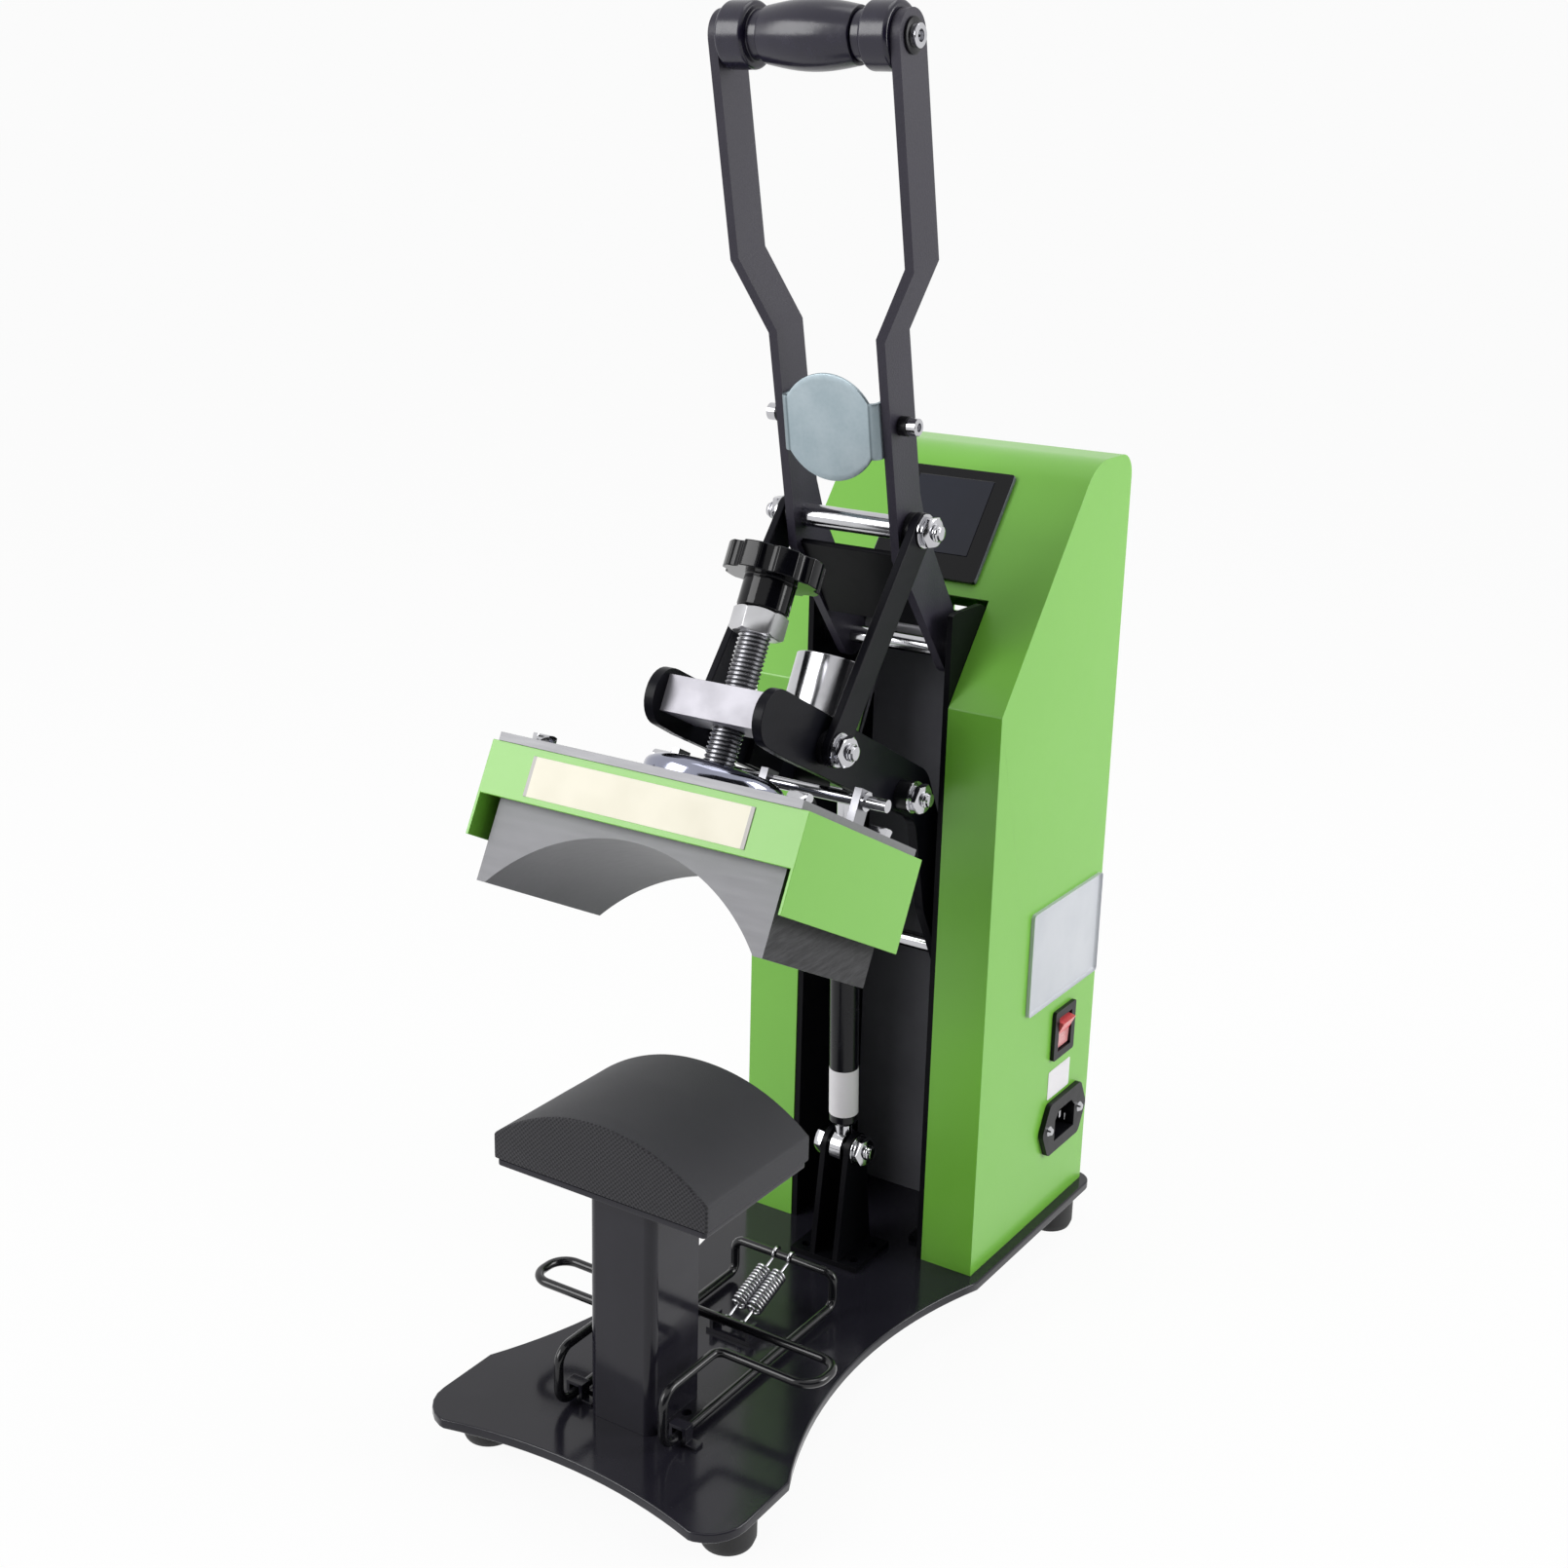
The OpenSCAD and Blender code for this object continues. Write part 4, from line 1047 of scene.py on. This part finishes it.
bends = disc_stations()
sheet_points = [(x, y, h * (2 * r / (ROWS - 1) - 1)) for x, y, h in bends for r in range(ROWS)]
sheet_faces = []
for i in range(len(bends) - 1):
    for r in range(ROWS - 1):
        k = i * ROWS + r
        sheet_faces.append((k, k + ROWS, k + ROWS + 1, k + 1))
sheet = bpy.data.meshes.new("folded_disc")
sheet.from_pydata([Vector(point) * MM for point in sheet_points], [], sheet_faces)
disc = brought("folded_disc", sheet)
modify(disc, "SOLIDIFY", thickness=SHEET_THICK * MM, offset=0)
rounded(disc, 0.3, 2, 50)
disc.matrix_world = (
    Matrix.Translation(Vector((0, *LINK_TOP)) * MM)
    @ Matrix.Rotation(HANDLE_LEAN, 4, "X")
    @ Matrix.Translation(Vector((0, -14, DISC_UP)) * MM)
    @ Matrix.Rotation(math.radians(-1.75), 4, "X")
)
settle(disc)
face_out(disc)
smooth(disc, 35)
fitted(disc, "handle", zinc, "zinc_plate", "armature_disc")
dressed("electromagnet", 0.5, chrome, 3)
DISC_AXIS = on_handle(-2, DISC_UP)
DISC_SCREW = [(22, 2), (35, 2), (35, 3.7), (35.3, 4), (39.6, 4), (39.9, 3.7)]
DISC_SCREW += [(39.9, 2), (38.2, 1.8)]
for side, which in SIDES:
    sleeve("disc_sleeve_" + which, "handle", side, (30.5, 35), 4.5, DISC_AXIS)
    screw = turned("disc_screw_" + which, outward(DISC_SCREW, side), DISC_AXIS, 40)
    bright(screw, "handle", *once(side < 0, "armature_screws"))

# --------------------------------------------
# Heating head: a machined aluminium block with its arched face, under a green
# hood and a satin top plate held by four bolts.
# --------------------------------------------
milled, place = finish("milled_aluminium")
cut = grain(place, 420, 4, 0.6, (0.08, 1, 1))
cloud = ramp(grain(place, 24, 4), (0.35, 0), (0.75, 1))
coat(
    milled,
    Base_Color=blend(cloud * 0.5 + cut * 0.2, (0.2, 0.2, 0.215), (0.15, 0.15, 0.16)),
    Metallic=0.15,
    Roughness=cut * 0.12 + 0.42,
    Normal=bump(cut, 0.00004, 0.6),
)
# The block's left and right sides: wavy cast grain on a dark colour that is painted shade, as these
# faces turn away from the light.
shaded_block_side, place = finish("painted_shade_block_side")
wavy = grain(place, 260, 5, 0.65, (1, 0.35, 2.6))
streak = ramp(wavy, (0.4, 0), (0.62, 1))
coat(
    shaded_block_side,
    Base_Color=blend(streak * 0.8, (0.02, 0.02, 0.022), (0.068, 0.068, 0.072)),
    Metallic=0.2,
    Roughness=streak * 0.12 + 0.5,
    Specular_IOR_Level=0.3,
    Normal=bump(wavy, 0.0002, 0.7),
)
plate_satin, place = finish("satin_aluminium_plate")
cut = grain(place, 500, 3, 0.6, (0.1, 1, 1))
coat(
    plate_satin,
    Base_Color=blend(cut, (0.21, 0.21, 0.22), (0.17, 0.17, 0.18)),
    Metallic=0.45,
    Roughness=cut * 0.1 + 0.36,
    Normal=bump(cut, 0.00002, 0.5),
)
block_steel = plated("ground_block_steel", (0.3, 0.3, 0.32), 0.24, 0.1)
for name, width, material, slot in (
    ("head_top_plate", 0.5, plate_satin, "plate_aluminium"),
    ("head_hood", 0.5, lime_coat, "green_coat"),
    ("heating_block", 0.5, milled, "cast_aluminium"),
    ("guide_blocks", 0.4, block_steel, "bright_steel"),
):
    dressed(name, width, material)
SHADED_SIDE_FROM = 74 * MM


def on_cast_side(face):
    """Whether a face of the block lies on its unmachined left or right side, which is darkened as
    painted shade.
    """
    return abs(face.normal.x) > 0.9 and abs(face.center.x) > SHADED_SIDE_FROM


two_tone(bpy.data.objects["heating_block_eased"], shaded_block_side, on_cast_side)
sheath = plated("dull_element_sheath", (0.3, 0.25, 0.2), 0.5)
plain(sheath, "element", "heating_element")
plain(chrome, "bright_steel", "guide_rod")

# --------------------------------------------
# Name plate: a thin ivory plate with a grey edge at both ends, on the hood's
# front, left without any print.
# --------------------------------------------
ARM_PIVOT = Vector((0, 95, Z0 + 160)) * MM
OPEN_ANGLE = math.radians(-27)
OPEN = (
    Matrix.Translation(ARM_PIVOT)
    @ Matrix.Rotation(OPEN_ANGLE, 4, "X")
    @ Matrix.Translation(-ARM_PIVOT)
)
PLATE_LENGTH = 115.4 * MM
PLATE_EDGE = 1.9 * MM
ivory, place = finish("bare_name_plate")
fade = ramp(grain(place, 50, 4), (0.4, 0), (0.75, 1))
rim = axes(place)[0].taken("ABSOLUTE") > PLATE_LENGTH / 2 - PLATE_EDGE
face_colour = blend(fade * 0.4, (0.86, 0.82, 0.67), (0.8, 0.76, 0.61))
coat(
    ivory,
    Base_Color=blend(rim, face_colour, (0.5, 0.48, 0.46)),
    Roughness=fade * 0.1 + 0.4,
    Normal=bump(grain(place, 600, 2), 0.00002, 0.4),
)
spot = (0, -176.2 * MM, (Z0 + 176) * MM)
plate = added("name_plate_bare", bpy.ops.mesh.primitive_cube_add, size=1, location=spot)
plate.scale = (PLATE_LENGTH, 0.5 * MM, 18 * MM)
settle(plate)
modify(plate, "BEVEL", width=0.18 * MM, segments=2)
plate.matrix_world = OPEN
settle(plate)
paint(ivory, plate.name)
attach(plate, "head")

# --------------------------------------------
# Pressure screw: a coarse bright screw with its lock nut and lobed knob, the
# pressed dish under it, and the four head bolts on the top plate.
# --------------------------------------------
# The dish's plating is darker and bluish: a painted reflection of dark surroundings.
dish_steel_dark_reflection = plated("dish_steel_painted_reflection", (0.3, 0.31, 0.39), 0.06)
nut_steel = plated("nut_steel", (0.62, 0.62, 0.64), 0.22, 0.1)
dressed("pressure_knob", 1.0, gloss_plastic, 3)
SCREW_Y = -122.5
PLATE_TOP = Z0 + 192.2
THREAD_FOOT = Vector((0, SCREW_Y, Z0 + 193.8)) * MM
PITCH = 2.0
THREAD_TOP = 7.5
THREAD_ROOT = 6.4
DISH_BORE = 7.7
DISH_RADIUS = 32
DISH_FALL = 12
WALL_TOP = 4.6
DISH_RISE = 6.4
DOME_STEPS = 12


def stood(piece, spot):
    """Stands a piece made along X upright on the arm, at a spot given with the arm level."""
    upright = Matrix.Rotation(-math.pi / 2, 4, "Y")
    piece.matrix_world = OPEN @ Matrix.Translation(Vector(spot) * MM) @ upright
    settle(piece)
    return piece


nut = stood(hexagon("lock_nut_turned", 0, 1, (0, 0), 22, 11.6), (0, SCREW_Y, Z0 + 264))
fitted(nut, "pressure_screw_unit", nut_steel, "bright_steel", "lock_nut")
dish_line = [(1.6, DISH_BORE), (0.4, 30.9), (0, 31.2), (0.1, 31.8), (0.6, DISH_RADIUS)]
dish_line.append((WALL_TOP, DISH_RADIUS))
for i in range(1, DOME_STEPS + 1):
    a = math.pi / 2 * i / DOME_STEPS
    rise = DISH_RISE * math.sin(a) ** 0.9
    dish_line.append((WALL_TOP + rise, DISH_RADIUS - DISH_FALL * (1 - math.cos(a))))
dish_line += [(11, 12), (11, 8.2), (10.6, DISH_BORE)]
dish = stood(turned("pressed_dish", dish_line, (0, 0), 96, 30), (0, SCREW_Y, PLATE_TOP))
fitted(dish, "pressure_screw_unit", dish_steel_dark_reflection, "bright_steel", "pressure_dish")
bolt_spots = [(x, y) for x in (-67, 67) for y in (-160.5, -86.5)]
for i, (x, y) in enumerate(bolt_spots):
    bolt = hexagon("head_bolt_" + str(i), 0, 1, (0, 0), 9.4, 4.6, 8 + 21 * i)
    bright(stood(bolt, (x, y, PLATE_TOP)), "head", *once(i == 0, "head_bolts"))
# One flank up and one down, wound round the screw's axis.
profile = [(THREAD_ROOT, 0, -PITCH / 2), (THREAD_TOP, 0, 0), (THREAD_ROOT, 0, PITCH / 2)]
flanks = bpy.data.meshes.new("pressure_thread")
flanks.from_pydata([Vector(point) * MM for point in profile], [(0, 1), (1, 2)], [])
threaded = brought("pressure_thread", flanks)
modify(
    threaded,
    "SCREW",
    axis="Z",
    angle=2 * math.pi,
    screw_offset=PITCH * MM,
    iterations=50,
    steps=32,
    render_steps=32,
    use_merge_vertices=True,
    merge_threshold=1e-6,
)
edit(threaded)
bpy.ops.mesh.remove_doubles(threshold=1e-6)
bpy.ops.mesh.fill_holes(sides=0)
bpy.ops.object.mode_set(mode="OBJECT")
face_out(threaded)
threaded.matrix_world = OPEN @ Matrix.Translation(THREAD_FOOT)
settle(threaded)
smooth(threaded, 50)
# Painted shade darkens the roots of the thread.
shaded_thread_steel, place = finish("threaded_steel_painted_shade")
foot_point = OPEN @ THREAD_FOOT
across_way = OPEN.to_3x3() @ Vector((0, 1, 0))
moved = place.node("ShaderNodeVectorMath", {"operation": "SUBTRACT"}, {0: place, 1: foot_point})
dot = {"operation": "DOT_PRODUCT"}
depth, width = (
    moved.node("ShaderNodeVectorMath", dot, {0: moved, 1: way}, "Value")
    for way in (across_way, (1, 0, 0))
)
reach = (depth * depth + width * width).taken("SQRT") / MM
unshaded_crest = ramp((reach - THREAD_ROOT) / (THREAD_TOP - THREAD_ROOT), (0.1, 0), (0.75, 1))
coat(
    shaded_thread_steel,
    Base_Color=blend(unshaded_crest, (0.09, 0.09, 0.1), (0.62, 0.62, 0.64)),
    Metallic=1.0,
    Roughness=0.34 - unshaded_crest * 0.16 + grain(place, 500, 3) * 0.1,
    Normal=bump(grain(place, 900, 3), 0.00001, 0.4),
)
fitted(threaded, "pressure_screw_unit", shaded_thread_steel, "bar_steel", "pressure_screw")

# --------------------------------------------
# Studio: a white floor that keeps the shadow, soft lamps, and the camera at
# the photograph's angle.
# --------------------------------------------
FLOOR_GLOW = 0.94
AIR_LIGHT = 0.42
AIR_SEEN = 0.545


def seen_rays(tree):
    """1 for the rays of the camera, of gloss and of glass, 0 for the light that bounces."""
    path = tree.nodes.new("ShaderNodeLightPath")
    seen = Shade(tree, path.outputs["Is Camera Ray"])
    for ray in ("Is Glossy Ray", "Is Transmission Ray"):
        seen = seen.math("MAXIMUM", seen, Shade(tree, path.outputs[ray]))
    return seen


floor = added("studio_floor", bpy.ops.mesh.primitive_plane_add, size=60, location=(0, 0, 0))
white, place = finish("studio_floor_white")
tree = white.node_tree
shader = tree.nodes["Principled BSDF"]
coat(white, Base_Color=(0.86, 0.86, 0.86), Roughness=0.9)
glow = place.node("ShaderNodeEmission", {}, {"Color": (1, 1, 1, 1), "Strength": 1.0}, 0)
layers = {0: seen_rays(tree) * FLOOR_GLOW, 1: Shade(tree, shader.outputs[0]), 2: glow}
mixed = place.node("ShaderNodeMixShader", {}, layers, 0)
tree.links.new(mixed.socket, tree.nodes["Material Output"].inputs["Surface"])
floor.data.materials.append(white)

world = bpy.data.worlds.new("studio_air")
bpy.context.scene.world = world
world.use_nodes = True
tree = world.node_tree
strength = seen_rays(tree) * AIR_SEEN + AIR_LIGHT
tree.links.new(strength.socket, tree.nodes["Background"].inputs["Strength"])
tree.nodes["Background"].inputs["Color"].default_value = (1, 1, 1, 1)


def softbox(name, place, aim, size, power):
    """A square soft lamp aimed at a point."""
    lamp = bpy.data.lights.new(name, "AREA")
    lamp.shape = "SQUARE"
    lamp.size = size
    lamp.energy = power
    piece = brought(name, lamp)
    piece.location = place
    piece.rotation_euler = (Vector(aim) - Vector(place)).to_track_quat("-Z", "Y").to_euler()


softbox("front_left_softbox", (-1.1, -1.5, 1.15), (0, -0.05, 0.3), 1.15, 25)
softbox("right_softbox", (1.5, 0.75, 0.8), (0, 0.05, 0.25), 0.9, 18)
softbox("overhead_softbox", (0.1, 0.3, 1.9), (0, 0, 0.2), 1.0, 6)

# Two dark cloths stand behind the camera and to its right, as in a
# photographer's tent, so that gloss and plating keep their depth.
black_cloth, place = finish("studio_black_cloth")
coat(
    black_cloth,
    Base_Color=blend(grain(place, 40, 3) * 0.4, (0.012, 0.012, 0.013), (0.02, 0.02, 0.022)),
    Roughness=grain(place, 30, 2) * 0.1 + 0.85,
)
for name, spot, size, facing in (
    ("studio_cloth_front", (1.25, -1.75, 0.8), (2.4, 1.6), 35.5),
    ("studio_cloth_right", (2.3, -0.55, 0.8), (1.3, 1.6), 76.0),
):
    cloth = added(name, bpy.ops.mesh.primitive_plane_add, size=1, location=spot)
    cloth.scale = (*size, 1)
    cloth.rotation_euler = (math.radians(85), 0, math.radians(facing))
    cloth.data.materials.append(black_cloth)
    cloth.visible_camera = False
    cloth.visible_shadow = False

AZIMUTH, ELEVATION, ROLL = (math.radians(a) for a in (32.69, 17.66, 1.43))
PHOTO_SIZE = 1610
FOCAL = 2145.1
OPTIC_MIDDLE = (805.4, 797.9)
CAMERA_AT = Vector((0.4992, -0.8026, 0.5982))
flat = math.cos(ELEVATION)
back = Vector((math.sin(AZIMUTH) * flat, -math.cos(AZIMUTH) * flat, math.sin(ELEVATION)))
right = (-back).cross(Vector((0, 0, 1))).normalized()
up = right.cross(-back)
turned_right = math.cos(ROLL) * right + math.sin(ROLL) * up
turned_up = -math.sin(ROLL) * right + math.cos(ROLL) * up
lens = bpy.data.cameras.new("photo_camera")
lens.sensor_width = 36
lens.lens = FOCAL / PHOTO_SIZE * lens.sensor_width
lens.shift_x = (PHOTO_SIZE / 2 - OPTIC_MIDDLE[0]) / PHOTO_SIZE
lens.shift_y = (OPTIC_MIDDLE[1] - PHOTO_SIZE / 2) / PHOTO_SIZE
lens.clip_start = 0.05
camera = brought("photo_camera", lens)
turn = Matrix((turned_right, turned_up, back)).transposed().to_4x4()
camera.matrix_world = Matrix.Translation(CAMERA_AT) @ turn
bpy.context.scene.camera = camera
bpy.context.scene.view_settings.view_transform = "Standard"
